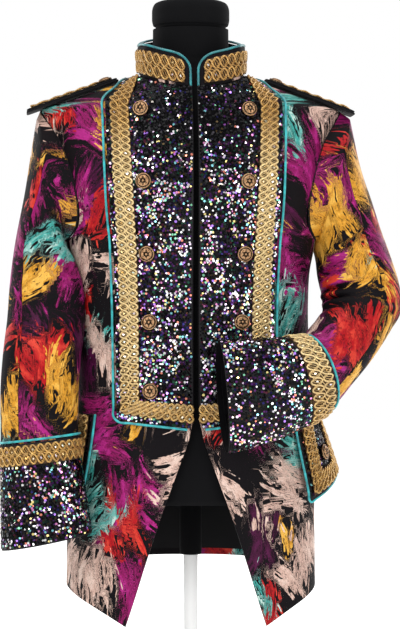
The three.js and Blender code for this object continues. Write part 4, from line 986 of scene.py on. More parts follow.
# Looped gold braid: a tape with two rows of interlaced gimp loops and a spangle in each eyelet

goldBraid = {
    "pitch": 10.5, "rows": (0.27, 0.73), "swing": 0.2, "cord": 1.7, "lift": 2.1, "weave": 0.8,
    "vein": 0.9, "inner": 0.6, "innerSwing": 0.13, "tape": 1.0, "spangle": (1.4, 2.2),
    "spangleTones": ("ffffff", "f6efd8", "e6c890", "d9cfe0", "cfe2da", "c99a52"),
    "overSequins": 4.9, "overCuff": 4.1, "overCollar": 0.5, "onCuffs": 0.7, "onFlaps": 0.25, "onCollar": 0.35,
}


# A function for the share of eyelets that have a spangle is the argument bright
def addBraid(name, sheet, path, lift, seed, bright, closed=False, pitchScale=1.0, cordScale=1.0):
    start, end = path
    places = np.linspace(start, end, 1600)
    run = runOf(sheet.surface(np.full(1600, 0.5), places))
    loops = max(2, round(run[-1] / (goldBraid["pitch"] * pitchScale)))
    at = lambda share: np.interp(share * run[-1], run, places)
    parts = Parts()
    steps = loops * 10
    share = np.linspace(0, 1, steps + 1)
    if closed:
        share = share[:-1]
    phase = share * loops * math.pi
    row = at(share)
    for middle in goldBraid["rows"]:
        for way in (1, -1):
            across = middle + way * goldBraid["swing"] * np.sign(np.sin(phase)) * np.abs(np.sin(phase)) ** 0.8
            height = lift + goldBraid["lift"] + way * goldBraid["weave"] * np.cos(phase)
            p, n = sheet.at(across, row, height)
            joined = closed and loops % 2 == 0
            parts.tube(p, n, goldBraid["cord"] * cordScale, 5, 0.85, joined)
            across = middle + way * goldBraid["innerSwing"] * np.cos(phase * 2 + way * 0.6)
            height = lift + goldBraid["lift"] + 0.3 - way * goldBraid["weave"] * np.sin(phase * 2) * 0.6
            p, n = sheet.at(across, row, height)
            parts.tube(p, n, goldBraid["inner"] * cordScale, 4, 0.85, closed)
    p, n = sheet.at(0.5 + 0.03 * np.sin(phase * 2), row, lift + goldBraid["lift"] - 0.2)
    parts.tube(p, n, goldBraid["vein"] * cordScale, 5, 1, closed)
    cords = parts.build(f"braid_{name}_cords", looks["gold"])

    tapeRows = at(np.linspace(0, 1, loops * 3 + 1))
    if closed:
        tapeRows[-1] = end
    tape = clothWall(f"braid_tape_{name}_cords", sheet, np.linspace(0.04, 0.96, 7), tapeRows,
                     [looks["tape"], looks["tape"]], lift, goldBraid["tape"])
    del tape["cut"]
    rng = np.random.default_rng(seed)
    centres = (np.arange(loops) + 0.5) / loops
    discs, tints, tones = [], [], np.array([tone(code) for code in goldBraid["spangleTones"]])
    for middle in goldBraid["rows"]:
        p, n = sheet.at(np.full(loops, middle), at(centres), lift + goldBraid["tape"] + 0.8)
        keep = rng.random(loops) < bright(p)
        guide = unit(np.cross(n, np.array([0.3, 0.2, 1.0])))
        tilt = rng.normal(0, 0.16, loops)[:, None]
        b = np.cross(n, guide) * np.cos(tilt) + n * np.sin(tilt)
        size = rng.uniform(*goldBraid["spangle"], loops)[:, None]
        p = p + guide * rng.normal(0, 0.7, loops)[:, None] + np.cross(n, guide) * rng.normal(0, 0.7, loops)[:, None]
        discs.append(hexagons(p, guide, b, size)[keep])
        tints.append(tones[rng.integers(0, len(tones), loops)][keep])
    spangles = discMesh(f"braid_spangles_{name}_cords", np.concatenate(discs), np.concatenate(tints))
    finishPiece(cords, "gold_braid", f"braid_{name}")
    finishPiece(tape, "gold_braid")
    finishPiece(spangles, "sequins")
    return [cords, tape, spangles]


# Outer x and height, inner x and height, where the braid's line turns
frontBraidRows = [
    (93, 908, 81, 914), (128, 877, 98, 868), (124, 778, 94, 778), (116, 645, 86, 645),
    (113, 545, 83, 545), (112.5, 403, 83, 424), (4.5, 388, 4.5, 418),
]


def cornerLine(rows, across, row):
    first, second, otherFirst, otherSecond = [np.interp(row, np.arange(len(rows)), line) for line in zip(*rows)]
    return first * (1 - across) + otherFirst * across, second * (1 - across) + otherSecond * across


# Painted shade: above 840 mm fewer eyelets on the fronts get a bright spangle, so the upper braid is darker
def frontEyeletsPaintedShade(p):
    return np.clip((840 - p[:, 2]) / 160, 0.1, 0.95)


for side, name in sides.items():
    surface = lambda u, v, s=side: frontPoint(*cornerLine(frontBraidRows, u, v), s)
    sheet = Sheet(surface, (0, 1, 0, 6), drape=drapeAt)
    addBraid(f"front_{name}", sheet, (0, 6), goldBraid["overSequins"], 200 + side, frontEyeletsPaintedShade)


# Teal satin piping

# How far its middle is from the edge on the fronts, over the cloth there, and from the collar's edge
pipingCord = {"radius": 1.85, "around": 10, "beside": 4.025, "lift": 3.5, "besideCollar": 2.975}


# A smooth line through points
def smoothLine(points, count):
    points = np.asarray(points, float)
    run = runOf(points)
    slope = np.gradient(points, run, axis=0)
    t = np.linspace(0, run[-1], count)
    i = np.clip(np.searchsorted(run, t) - 1, 0, len(run) - 2)
    span = (run[i + 1] - run[i])[:, None]
    f = (t - run[i])[:, None] / span
    return ((1 + 2 * f) * (1 - f) ** 2 * points[i] + f * f * (3 - 2 * f) * points[i + 1]
            + span * f * (1 - f) ** 2 * slope[i] + span * f * f * (f - 1) * slope[i + 1])


def addPiping(name, line, guide, node, closed=False):
    parts = Parts()
    wobble = 1 + 0.035 * np.sin(np.arange(len(line)) * 1.7) + 0.03 * np.sin(np.arange(len(line)) * 0.53)
    parts.tube(line, guide, pipingCord["radius"] * wobble, pipingCord["around"], 1, closed)
    return finishPiece(parts.build(name, looks["piping"]), "teal_cord", node)


# A flat line moved sideways by a distance
def movedLine(points, distance):
    points = np.asarray(points, float)
    step = np.diff(points, axis=0)
    heading = np.arctan2(step[:, 1], step[:, 0])
    before, after = np.concatenate([heading[:1], heading]), np.concatenate([heading, heading[-1:]])
    middle, reach = (before + after) / 2 + math.pi / 2, distance / np.cos((after - before) / 2)
    return points + np.stack([reach * np.cos(middle), reach * np.sin(middle)], -1)


def onFront(x, z, side, lift):
    point, step = frontPoint(x, z, side), 0.3
    n = unit(np.cross(frontPoint(np.asarray(x) + step, z, 1) - frontPoint(np.maximum(np.asarray(x) - step, 0.1), z, 1),
                      frontPoint(x, np.asarray(z) + step, 1) - frontPoint(x, np.asarray(z) - step, 1)))
    n = n * -np.sign(n[..., 1:2] + 1e-9)
    n[..., 0] = np.abs(n[..., 0]) * side
    return point + n * (np.asarray(lift + drapeAt(point)))[..., None], n


for side, name in sides.items():
    rows = np.concatenate([np.linspace(topRow, 7, 17), [hemRows["corner"]]])
    x = sequinCurves["edgeX"](rows)
    share = shareAt(x, rows)
    height = frontCurves["innerZ"](rows) * (1 - share) + frontCurves["outerZ"](rows) * share
    corner, centreZ = (x[-1], height[-1]), float(frontCurves["innerZ"](hemRows["centre"]))
    hem = [(corner[0] * (1 - t), corner[1] * (1 - t) + centreZ * t) for t in np.linspace(0.15, 0.985, 6)]
    line = movedLine(np.concatenate([np.stack([x, height], -1), hem]), pipingCord["beside"])
    run = runOf(line)
    laid = pointsAt(np.linspace(0, run[-1], 230), run, line)
    points, n = onFront(laid[:, 0], laid[:, 1], side, clothThickness + pipingCord["lift"])
    addPiping(f"piping_plastron_{name}", smoothLine(points[::5], 230), n, f"piping_front_{name}")
print("braid and piping made")


# Buttons: antique gilt, with a rope rim and a raised rosette

gildedButton = {"shank": 1.2, "rim": 2.2, "dome": 4.0, "petals": 6, "relief": 1.3, "rope": 26, "around": 56}
buttonLift = sequinLift + sequinThickness + 0.9


def buttonParts():
    b = gildedButton
    radii = np.concatenate([np.linspace(0.6, 9.4, 15), [9.9, 10.3, 10.8, 11.3, 11.8, 12.1]])
    count = b["around"]
    turns = np.arange(count) * math.tau / count
    r, a = np.meshgrid(radii, turns, indexing="ij")
    dome = b["shank"] + b["rim"] - 0.6 + b["dome"] * (1 - (r / 12.6) ** 2)
    petal = np.abs(np.cos(a * b["petals"] / 2)) ** 0.7 * np.exp(-((r - 6.2) / 2.3) ** 4)
    leaf = 0.6 * np.abs(np.sin(a * b["petals"] / 2)) ** 3 * np.exp(-((r - 7.8) / 1.0) ** 2)
    boss = 0.9 * np.exp(-(r / 1.9) ** 4) - 0.5 * np.exp(-((r - 3.0) / 0.5) ** 2)
    rope = (0.9 + 0.3 * np.cos(b["rope"] * a)) * np.exp(-((r - 11) / 0.75) ** 2)
    relief = petal + leaf + boss
    z = dome + b["relief"] * relief + rope
    z[-1] = b["shank"] + 1.0
    top = xyz(r * np.cos(a), r * np.sin(a), z)
    profile = ((12, b["shank"] + 0.3), (11.4, b["shank"]), (4, b["shank"]), (4, 0))
    lower = [xyz(radius * np.cos(turns), radius * np.sin(turns), level) for radius, level in profile]
    rings = np.concatenate([top, np.array(lower)])
    tips = np.array([[0, 0, float(z[0].mean() + 0.2)], [0, 0, 0]])
    points = np.concatenate([rings.reshape(-1, 3), tips])
    rows, k = len(rings), np.arange(count)
    faces = ringQuads(count, rows, True)[:, ::-1].tolist()
    faces += np.stack([k, (k + 1) % count, np.full(count, count * rows)], -1).tolist()
    last = (rows - 1) * count
    faces += np.stack([last + (k + 1) % count, last + k, np.full(count, count * rows + 1)], -1).tolist()
    worn = np.clip(relief + np.exp(-((r - 11) / 0.8) ** 2), 0, 1).ravel()
    return points, faces, np.concatenate([worn, np.full(len(profile) * count, 0.2), [1, 0]])


buttonMesh = buttonParts()


def addButton(name, seat, axis, node):
    points, faces, worn = buttonMesh
    axis = unit(np.asarray(axis, float))
    a = unit(np.cross(axis, np.array([0.0, 0.0, 1.0]) if abs(axis[2]) < 0.9 else np.array([0.0, 1.0, 0.0])))
    b = np.cross(axis, a)
    placed = np.asarray(seat) + points[:, :1] * a + points[:, 1:2] * b + points[:, 2:] * axis
    made = meshObject(name, placed, faces, [looks["button"]], None, None, [("relief", "FLOAT", worn)], sharp=60)
    return finishPiece(made, "button_metal", node)


frontButtons = [(81, 862), (78, 753), (73, 645), (69, 541), (68, 437)]
for side, name in sides.items():
    for i, (x, z) in enumerate(frontButtons):
        seat, axis = onFront(np.array([x]), np.array([z]), side, buttonLift)
        addButton(f"gilt_button_front_{name}_{i + 1}", seat[0], axis[0], f"button_front_{name}_{i + 1}")
print("buttons made")


# Sleeves

# Each ring: its point nearest to the body and the farthest one, half its depth, and its turn in degrees
sleeveNames = ["nearX", "nearY", "nearZ", "farX", "farY", "farZ", "depth", "turn"]
hangingSleeveRows = [
    (191, -2, 657, 237, 0, 852, 67, 0), (190, -10, 647, 247, 2, 790, 67, 0),
    (176, -34, 630, 258, 0, 715, 63, 0), (170, -54, 610, 268, -14, 642, 58, 0),
    (167, -66, 570, 276, -30, 587, 54, 0), (167, -72, 535, 281, -44, 546, 51, 0),
    (174, -82, 485, 287, -62, 495, 48, 0), (178, -92, 428, 291, -73, 422, 46, 0),
    (178, -104, 371, 291, -88, 356, 46, 0), (176, -109, 336, 289, -93, 322, 46, 0),
    (160, -122, 226, 287, -106, 200, 49, 0),
]
bentSleeveRows = [
    (191, -2, 657, 246, 0, 857, 68, 0), (194, -4, 646, 262, -2, 784, 68, 0),
    (197, -10, 630, 278, -6, 731, 64, 0), (198, -16, 612, 292, -12, 686, 60, 2),
    (199, -26, 596, 306, -22, 647, 57, 5), (200, -38, 584, 317, -30, 605, 55, 9),
    (201, -52, 575, 320, -38, 575, 53, 14), (201, -68, 567, 317, -46, 552, 52, 18),
    (198, -88, 559, 298, -62, 525, 50, 24), (192, -108, 549, 263, -86, 482, 48, 28),
    (179, -126, 536, 230, -110, 446, 46, 28), (162, -142, 518, 195, -133, 410, 45, 26),
    (130, -159, 515, 159, -153, 389, 42, 21), (78, -177, 513, 100, -174, 366, 34, 14),
    (29, -184, 512, 41, -183, 351, 27, 10),
]
# Ring along the sleeve, place round it, depth, half length round it, half width along it, slant
bentCreases = [
    (6.0, 0.4, 7, 0.17, 0.45, -2.4), (7.3, 0.42, 8, 0.15, 0.5, -0.6), (8.7, 0.42, 6, 0.16, 0.5, 1.4),
    (4.6, 0.36, 4, 0.14, 0.5, -2.2), (10.3, 0.34, 3, 0.13, 0.5, 1.2), (6.8, 0.62, 6, 0.12, 0.5, 1.0),
    (5.4, 0.3, 2.6, 0.12, 0.3, -2.8), (9.5, 0.3, 2.6, 0.13, 0.3, 2.0), (7.9, 0.2, 2.0, 0.1, 0.3, 0.8),
    (3.4, 0.3, 2.4, 0.15, 0.45, -1.8), (2.2, 0.2, 2.0, 0.16, 0.4, -1.2), (11.2, 0.45, 2.0, 0.14, 0.3, 0.8),
]
hangingCreases = [
    (5.3, 0.36, 4.5, 0.16, 0.35, -0.9), (6.1, 0.42, 3.5, 0.13, 0.35, -0.5), (3.2, 0.3, 3, 0.14, 0.5, -1.2),
    (6.6, 0.72, 3, 0.14, 0.4, 0.7), (2.1, 0.26, 2.4, 0.16, 0.4, -0.8), (4.3, 0.2, 2, 0.13, 0.35, 0.9),
    (7.4, 0.3, 1.6, 0.14, 0.3, 0.6),
]
armholeStart = {"front": 10, "back": 8}
armholeSkips, sleeveSeamPoint = (1, 3), 6
sleeveSetIn = {"top": 2.1, "armpit": 4.4}


def armholeLine(rows, start, isBack):
    kept = [i for i in range(len(rows)) if i >= start and (len(rows) - 1 - i) not in armholeSkips][::-1]
    angle = np.array([rows[i][2] for i in kept], float)
    points = torso(180 - angle if isBack else angle, np.array([rows[i][3] for i in kept], float))
    reach = runOf(points)
    return np.array(kept, float), reach / reach[-1]


armholes = {
    "front": armholeLine(frontRows, armholeStart["front"], False),
    "back": armholeLine(backRows, armholeStart["back"], True),
}


def armholePoint(around):
    turn = np.mod(around, 1)
    ahead = turn <= 0.5
    share = np.where(ahead, turn * 2, 2 - turn * 2)
    points = []
    for part, curves in (("front", frontCurves), ("back", backCurves)):
        kept, shares = armholes[part]
        row = np.interp(share, shares, kept)
        angle = curves["outerAngle"](row)
        points.append(torso(180 - angle if part == "back" else angle, curves["outerZ"](row)))
    point = np.where(ahead[..., None], points[0], points[1])
    low = np.clip((share - 0.45) / 0.45, 0, 1)
    low = low * low * (3 - 2 * low)
    point[..., 0] += sleeveSetIn["top"] + (sleeveSetIn["armpit"] - sleeveSetIn["top"]) * low
    return point


foldShape = {"narrow": 0.8, "deep": 1.3, "ridge": 0.35, "soft": 0.012, "clear": 5}


# How far the sleeve's creases draw the cloth in, with a soft ridge beside each
def creaseDepth(creases, around, ring):
    turn = np.mod(around, 1)
    deepest = np.zeros(np.broadcast(around, ring).shape)
    raised = np.zeros_like(deepest)
    for at, place, depth, half, width, slant in creases:
        beside = (turn - place) / half
        along = (ring - at - slant * (turn - place)) / (width * foldShape["narrow"])
        share = np.where(np.abs(beside) < 1, depth * (1 - beside ** 2) ** 2, 0)
        deepest = np.maximum(deepest, foldShape["deep"] * share * np.exp(-along ** 2))
        raised = np.maximum(raised, foldShape["ridge"] * share * np.exp(-(along - 1.7) ** 2))
    return deepest - raised


# Points moved outwards until they clear the body by a gap
def clearOfBody(point, gap):
    z = point[..., 2]
    square = bodyCurve["square"](z)
    depth = np.where(point[..., 1] < 0, bodyCurve["front"](z), bodyCurve["back"](z))
    wide, deep = np.abs(point[..., 0]) / (bodyCurve["halfWidth"](z) + gap), np.abs(point[..., 1]) / (depth + gap)
    reach = (wide ** square + deep ** square) ** (1 / square)
    grow = np.where((reach >= 1) | (z > 700), 1, 1 / np.maximum(reach, 1e-6))
    return point * np.stack([grow, grow, np.ones_like(grow)], -1)


sleevePrint = {"girth": 330, "above": 130}  # mm once round, and mm of cloth before the first ring


def sleeveSheet(rows, creases, side, cuffStart, cuffClearance, seed):
    curve = columnsOf(rows, sleeveNames)
    least = foldShape["clear"]
    clearance = lambda ring: least + (cuffClearance - least) * np.clip((ring - cuffStart) / 1.6 + 1, 0, 1)

    def middle(row):
        near = xyz(curve["nearX"](row), curve["nearY"](row), curve["nearZ"](row))
        far = xyz(curve["farX"](row), curve["farY"](row), curve["farZ"](row))
        return near, far

    def surface(around, ring):
        around, ring = np.broadcast_arrays(np.asarray(around, float), np.asarray(ring, float))
        row = np.maximum(0, ring - 1)
        near, far = middle(row)
        centre = (near + far) / 2
        reach = far - centre
        length = np.linalg.norm(reach, axis=-1)
        axis = unit(reach)
        forwards = unit(np.array([0, -1.0, 0]) + axis * axis[..., 1:2])
        turnBy = -np.radians(curve["turn"](row))[..., None]
        forwards = forwards * np.cos(turnBy) + np.cross(axis, forwards) * np.sin(turnBy)
        turn = math.tau * around
        drawnIn = 1 - creaseDepth(creases, around, row + 1) / length
        fromTop, toCuff = np.clip(ring / 3, 0, 1), np.clip((cuffStart - ring) / 2, 0, 1)
        soft = 1 + foldShape["soft"] * np.sin(2 * turn + ring * 1.9 + seed) * fromTop * toCuff
        aside = reach * (np.cos(turn) * drawnIn * soft)[..., None]
        ahead = forwards * (np.sin(turn) * curve["depth"](row) * drawnIn * soft)[..., None]
        point = clearOfBody(centre + aside + ahead, clearance(row + 1))
        start = np.clip(1 - ring, 0, 1)[..., None]
        point = point * (1 - start) + armholePoint(around) * start
        return point * np.array([side, 1, 1])

    def centre(ring):
        near, far = middle(np.array([max(0, ring - 1)]))
        return ((near + far) / 2)[0] * np.array([side, 1, 1])
    lines = np.linspace(0, len(rows) - 1, 400)
    centres = sum(middle(lines)) / 2
    headings = unit(np.gradient(centres, axis=0))
    run = runOf(centres)

    # The print's own flat coordinates: round the sleeve and along its middle, and in the
    # sleeve head the way from the first ring, so that no patch is stretched there
    def printAt(p, around, ring):
        flip = np.array([side, 1, 1])
        row = np.maximum(0, ring - 1)
        centre, heading = pointsAt(row, lines, centres), pointsAt(row, lines, headings)
        along = np.interp(row, lines, run) + np.sum((p * flip - centre) * heading, -1)
        low = np.maximum(ring, 1)
        aside = unit((surface(around + 0.01, low) - surface(around - 0.01, low)) * flip)
        across = np.sum((p - surface(around, low)) * flip * aside, -1) * (ring < 1)
        return np.stack([(around + 0.6) * sleevePrint["girth"] + across, along + sleevePrint["above"]], -1)
    sheet = Sheet(surface, (-0.5, 1, 0, len(rows)), centre, wraps=True)
    sheet.printAt = printAt
    return sheet


frontTurns, backTurns = armholes["front"][1] / 2, -armholes["back"][1] / 2
frontSeam, backSeam = frontTurns[sleeveSeamPoint], backTurns[sleeveSeamPoint]
sleeveSeamGap = 0.0008
armholeSeam = {"radius": 1.7, "ring": 0.03, "lift": 0.2}  # the black cord in the seam between sleeve and body, which closes the gap there; its black is painted shade in the seam
sleeveCloth = {"outerColumns": 74, "innerColumns": 40, "perRing": 9, "hangingCloser": 1.35}
cuffs = {
    "left": {"start": 12, "braidEnd": 13, "end": 15, "clearance": 16},
    "right": {"start": 9, "braidEnd": 10, "end": 11, "clearance": 22},
}
cuffPiping = {"above": 0.08, "lift": 4.1}


def turnsRound(count):
    return np.linspace(0, 1, count + 1)[:-1]


def addSleeve(side, rows, creases):
    name = sides[side]
    cuff = cuffs[name]
    sheet = sleeveSheet(rows, creases, side, cuff["start"], cuff["clearance"], side)
    last = cuff["end"] - 0.15
    closer = 1 if side > 0 else sleeveCloth["hangingCloser"]
    along = np.linspace(0, last, int(last * sleeveCloth["perRing"] * closer) + 1)

    def half(part, start, end, columns, seed):
        turns = np.linspace(start + sleeveSeamGap, end - sleeveSeamGap, columns)
        return clothWall(f"sleeve_{part}_{name}", sheet, turns, along, [looks["brocade"], looks["lining"]],
                         paintSeed=seed + side * 7, printAt=sheet.printAt)
    outer = half("top", backSeam, frontSeam, sleeveCloth["outerColumns"], 410)
    inner = half("under", frontSeam, backSeam + 1, sleeveCloth["innerColumns"], 430)
    net = sequinNet(f"cuff_{name}", sheet, turnsRound(108), np.linspace(cuff["start"], cuff["end"], 40), closed=True)
    discs = addSequins(f"cuff_{name}", sheet, evenly(sequinKinds["onCuffs"]), 300 + side, (0, 1),
                       (cuff["braidEnd"] - 0.02, cuff["end"] - 0.02), ring=True)
    first, wide = cuff["start"] + 0.03, cuff["braidEnd"] - cuff["start"] - 0.03
    strip = Sheet(lambda u, v: sheet.surface(v, first + wide * u), (0, 1, 0, 1),
                  lambda v: sheet.centre(cuff["start"] + 0.5))
    trims = addBraid(f"cuff_{name}", strip, (0, 1), goldBraid["overCuff"], 500 + side,
                     evenly(goldBraid["onCuffs"]), closed=True)
    p, n = sheet.at(turnsRound(120), np.full(120, cuff["start"] - cuffPiping["above"]), cuffPiping["lift"])
    piping = addPiping(f"piping_wrist_{name}", p, n, f"piping_cuff_{name}", closed=True)
    # A black cord round the armhole closes the gap between sleeve and body; its black is painted shade in the seam
    p, n = sheet.at(turnsRound(160), np.full(160, armholeSeam["ring"]), armholeSeam["lift"])
    seam = Parts()
    seam.tube(p, n, armholeSeam["radius"], 8, 1, True)
    seam = seam.build(f"armhole_seam_{name}", looks["board"])
    finishCloth(outer, f"sleeve_outer_{name}")
    finishCloth(inner, f"sleeve_inner_{name}")
    finishCloth(net, f"cuff_{name}")
    finishPiece(seam, "lining")


addSleeve(1, bentSleeveRows, bentCreases)
addSleeve(-1, hangingSleeveRows, hangingCreases)
print("sleeves and cuffs made")


# Pocket flaps

flapNames = ["frontAngle", "frontZ", "frontOff", "backAngle", "backZ", "backOff"]
flapRows = [
    (49, 402, 0, 96, 408, 0), (50.5, 372, 2, 95, 384, 9), (53, 336, 5, 94, 358, 19),
    (56, 300, 8, 93, 332, 28), (58, 266, 11, 92, 306, 36),
]
flapBraidRows = [(0.07, 0.02, 0.33, 0.02), (0.07, 0.95, 0.33, 0.7), (0.93, 0.95, 0.67, 0.7), (0.93, 0.02, 0.67, 0.02)]
flapFlare, flapPipingLift = {"left": 1, "right": 0.2}, 1.9
flapCurves = columnsOf(flapRows, flapNames)


def flapSurface(side):
    flare = flapFlare[sides[side]]

    def surface(across, down):
        across, down = np.broadcast_arrays(np.asarray(across, float), np.asarray(down, float))
        row = down * (len(flapRows) - 1)
        c = {key: value(row) for key, value in flapCurves.items()}
        angle = c["frontAngle"] * (1 - across) + c["backAngle"] * across
        height = c["frontZ"] * (1 - across) + c["backZ"] * across
        step = 0.004
        n = np.cross(torso(angle + step, height) - torso(angle - step, height),
                     torso(angle, height + step) - torso(angle, height - step))
        n[..., 2] = 0
        n = unit(n * np.where(n[..., :1] < 0, -1, 1))
        off = 2.3 + flare * (c["frontOff"] * (1 - across) + c["backOff"] * across)
        base = torso(angle, height)
        soft = drapeAt(base * np.array([side, 1, 1]))
        return (base + n * (off + soft)[..., None]) * np.array([side, 1, 1])
    return surface


for side, name in sides.items():
    sheet = Sheet(flapSurface(side), (0, 1, 0, 1))
    across, down = np.linspace(0.016, 0.984, 30), np.linspace(0, 0.98, 30)
    base = clothWall(f"flap_cloth_{name}", sheet, across, down, [looks["lining"], looks["lining"]])
    net = sequinNet(f"flap_{name}", sheet, across, down)
    discs = addSequins(f"flap_{name}", sheet, evenly(sequinKinds["onFlaps"]), 600 + side, (0.04, 0.96), (0.01, 0.955))
    strip = Sheet(lambda u, v, s=sheet: s.surface(*cornerLine(flapBraidRows, u, v)), (0, 1, 0, 3))
    trims = addBraid(f"flap_{name}", strip, (0, 3), goldBraid["overSequins"], 700 + side, evenly(goldBraid["onFlaps"]))
    ends = np.zeros(12), np.ones(12)
    rimAcross = np.concatenate([ends[0], np.linspace(0.02, 0.98, 12), ends[1]])
    rimDown = np.concatenate([np.linspace(0, 0.975, 12), np.full(12, 0.992), np.linspace(0.975, 0, 12)])
    wide = Sheet(flapSurface(side), (-0.01, 1.01, 0, 1.01))
    p, n = wide.at(rimAcross, rimDown, flapPipingLift)
    line = smoothLine(p, 150)
    guide = pointsAt(np.linspace(0, len(n) - 1, 150), np.arange(len(n)), n)
    piping = addPiping(f"piping_edge_flap_{name}", line, guide, f"piping_flap_{name}")
    seat, axis = sheet.at(np.array([0.5]), np.array([0.55]), buttonLift)
    addButton(f"gilt_button_flap_{name}", seat[0], axis[0], f"button_flap_{name}")
    finishCloth(net, f"sequin_flap_{name}")
    finishCloth(base, f"flap_{name}")
print("pocket flaps made")


# Stand collar

collarSizes = {
    "thickness": 2.6, "seat": 2.2, "corner": 22, "edge": 5.2, "leanDepth": -0.095, "leanWidth": 0.035,
    "braidFoot": 0.05, "braidWidth": 0.87, "braidPitch": 1.15, "braidCords": 1.08,
}
collarRise = tableCurve([0, 0.2, 0.52, 1], [45, 49, 42, 45])


def necklineLine():
    points = [torso(angleOf(r[0], r[1]), np.array(float(r[1]))) for r in frontRows[18:]]
    points += [torso(180 - angleOf(r[0], r[1]), np.array(float(r[1]))) for r in backRows[16:-1][::-1]]
    line = smoothLine(np.array(points), 900)
    return line, runOf(line)


neckLine, neckRun = necklineLine()
collarSpan = neckRun[-1] - collarSizes["edge"]


# A point of the collar: mm from its front edge along the neckline, height and distance outwards
def collarAt(side, fromEdge, height, lift=0.0):
    c = collarSizes
    fromEdge, height = np.broadcast_arrays(np.asarray(fromEdge, float), np.asarray(height, float))
    share = np.minimum(1, (c["edge"] + fromEdge) / neckRun[-1])
    place = share * neckRun[-1]
    point = pointsAt(place, neckRun, neckLine)
    ahead = (pointsAt(np.minimum(place + 1.5, neckRun[-1]), neckRun, neckLine)
             - pointsAt(np.maximum(place - 1.5, 0), neckRun, neckLine))
    outwards = unit(np.stack([ahead[..., 1], -ahead[..., 0], 0 * place], -1))
    steep = height / collarRise(share)
    point = point * np.stack([1 + c["leanWidth"] * steep, 1 + c["leanDepth"] * steep, 1 + 0 * steep], -1)
    point[..., 2] += c["seat"] + height
    point = point + outwards * np.asarray(lift)[..., None]
    return point * np.stack([np.broadcast_to(np.asarray(side, float), place.shape), 1 + 0 * place, 1 + 0 * place], -1)


def collarTop(fromEdge):
    c = collarSizes
    rise = collarRise(fromEdge / collarSpan)
    near = np.minimum(fromEdge, c["corner"])
    return rise - (c["corner"] - np.sqrt(np.maximum(c["corner"] ** 2 - (c["corner"] - near) ** 2, 0)))


def collarSurface(place, up):
    place, up = np.broadcast_arrays(np.asarray(place, float), np.asarray(up, float))
    fromEdge = (1 - np.abs(place)) * collarSpan
    return collarAt(np.where(place < 0, -1, 1), fromEdge, up * collarTop(fromEdge))


def addCollar():
    c = collarSizes
    middleLine = lambda v: np.array([0, 0, 930.0])
    sheet = Sheet(collarSurface, (-1, 1, 0, 1), middleLine)
    edge = 1 - (1 - np.cos(np.linspace(0, math.pi / 2, 26))) * 0.14
    half = np.concatenate([edge, np.linspace(0.84, 0.02, 60)])
    across = np.concatenate([-half, [0], half[::-1]])
    stand = clothWall("collar_stand", sheet, across, np.linspace(0, 1, 14), [looks["brocade"], looks["lining"]],
                      0, c["thickness"], paintSeed=88, plain=lambda u, v: (v > 0.5) | (np.abs(u) > 0.93))
    strip = Sheet(lambda u, v: collarSurface(v, c["braidFoot"] + c["braidWidth"] * u),
                  (0, 1, -0.985, 0.985), middleLine)
    trims = addBraid("collar", strip, (-0.975, 0.975), c["thickness"] + goldBraid["overCollar"], 800,
                     evenly(goldBraid["onCollar"]), pitchScale=c["braidPitch"], cordScale=c["braidCords"])
    off, middle = pipingCord["besideCollar"], c["thickness"] / 2
    straight = float(collarRise(0)) - c["corner"]
    line = [collarAt(1, -off, up * straight, middle) for up in (0, 0.35, 0.7, 0.95)]
    for turn in np.radians(np.linspace(12, 90, 8)):
        reach = c["corner"] + off
        fromEdge = c["corner"] - reach * math.cos(turn)
        level = float(collarRise(max(0, fromEdge) / collarSpan)) - c["corner"]
        line.append(collarAt(1, fromEdge, level + reach * math.sin(turn), middle))
    for share in np.linspace(0.17, 1, 22):
        fromEdge = share * collarSpan
        line.append(collarAt(1, fromEdge, float(collarTop(np.array(fromEdge))) + off, middle))
    half = np.array(line)
    half[-1, 0] = 0
    full = np.concatenate([half, half[:-1][::-1] * np.array([-1, 1, 1])])
    smooth = smoothLine(full, 330)
    guide = unit(smooth * np.array([1, 1, 0]) + 1e-9)
    piping = addPiping("piping_top_collar", smooth, guide, "piping_collar")
    finishCloth(stand, "collar")


addCollar()
print("collar made")


# Shoulder boards with looped gold cord and a button

shoulderBoard = {
    "length": 150, "inner": 50, "outer": 60, "corner": 9, "layer": 2.6, "between": 0.35,
    "start": 112, "seat": 953.6, "pitch": 19.9, "buttonAt": 20.0,
}
boardCord = {"from": 32, "length": 108, "swing": 12.5, "pitch": 21, "cord": 2.0, "apart": 3.4}


def boardOutline(grow):
    b = shoulderBoard
    start, end = -grow, b["length"] + grow
    inner, outer, corner = b["inner"] / 2 + grow, b["outer"] / 2 + grow, b["corner"]
    line = []

    def bend(p0, p1, p2):
        for t in np.linspace(0, 1, 7):
            line.append(np.array(p0) * (1 - t) ** 2 + 2 * np.array(p1) * t * (1 - t) + np.array(p2) * t * t)
    bend((start, inner - corner), (start, inner), (start + corner, inner))
    bend((end - corner, outer), (end, outer), (end, outer - corner))
    bend((end, -outer + corner), (end, -outer), (end - corner, -outer))
    bend((start + corner, -inner), (start, -inner), (start, -inner + corner))
    return np.array(line)[::-1]


# Points laid on the shoulder: along the board from its inner end, across it and up from it
def onBoard(points, side):
    b = shoulderBoard
    pitch = math.radians(b["pitch"])
    ridge = b["seat"] - math.tan(pitch) * b["start"]
    x = b["start"] + points[..., 0] * math.cos(pitch) + points[..., 2] * math.sin(pitch)
    z = ridge - points[..., 0] * math.sin(pitch) + points[..., 2] * math.cos(pitch)
    return np.stack([x * side, points[..., 1] * side, z], -1)


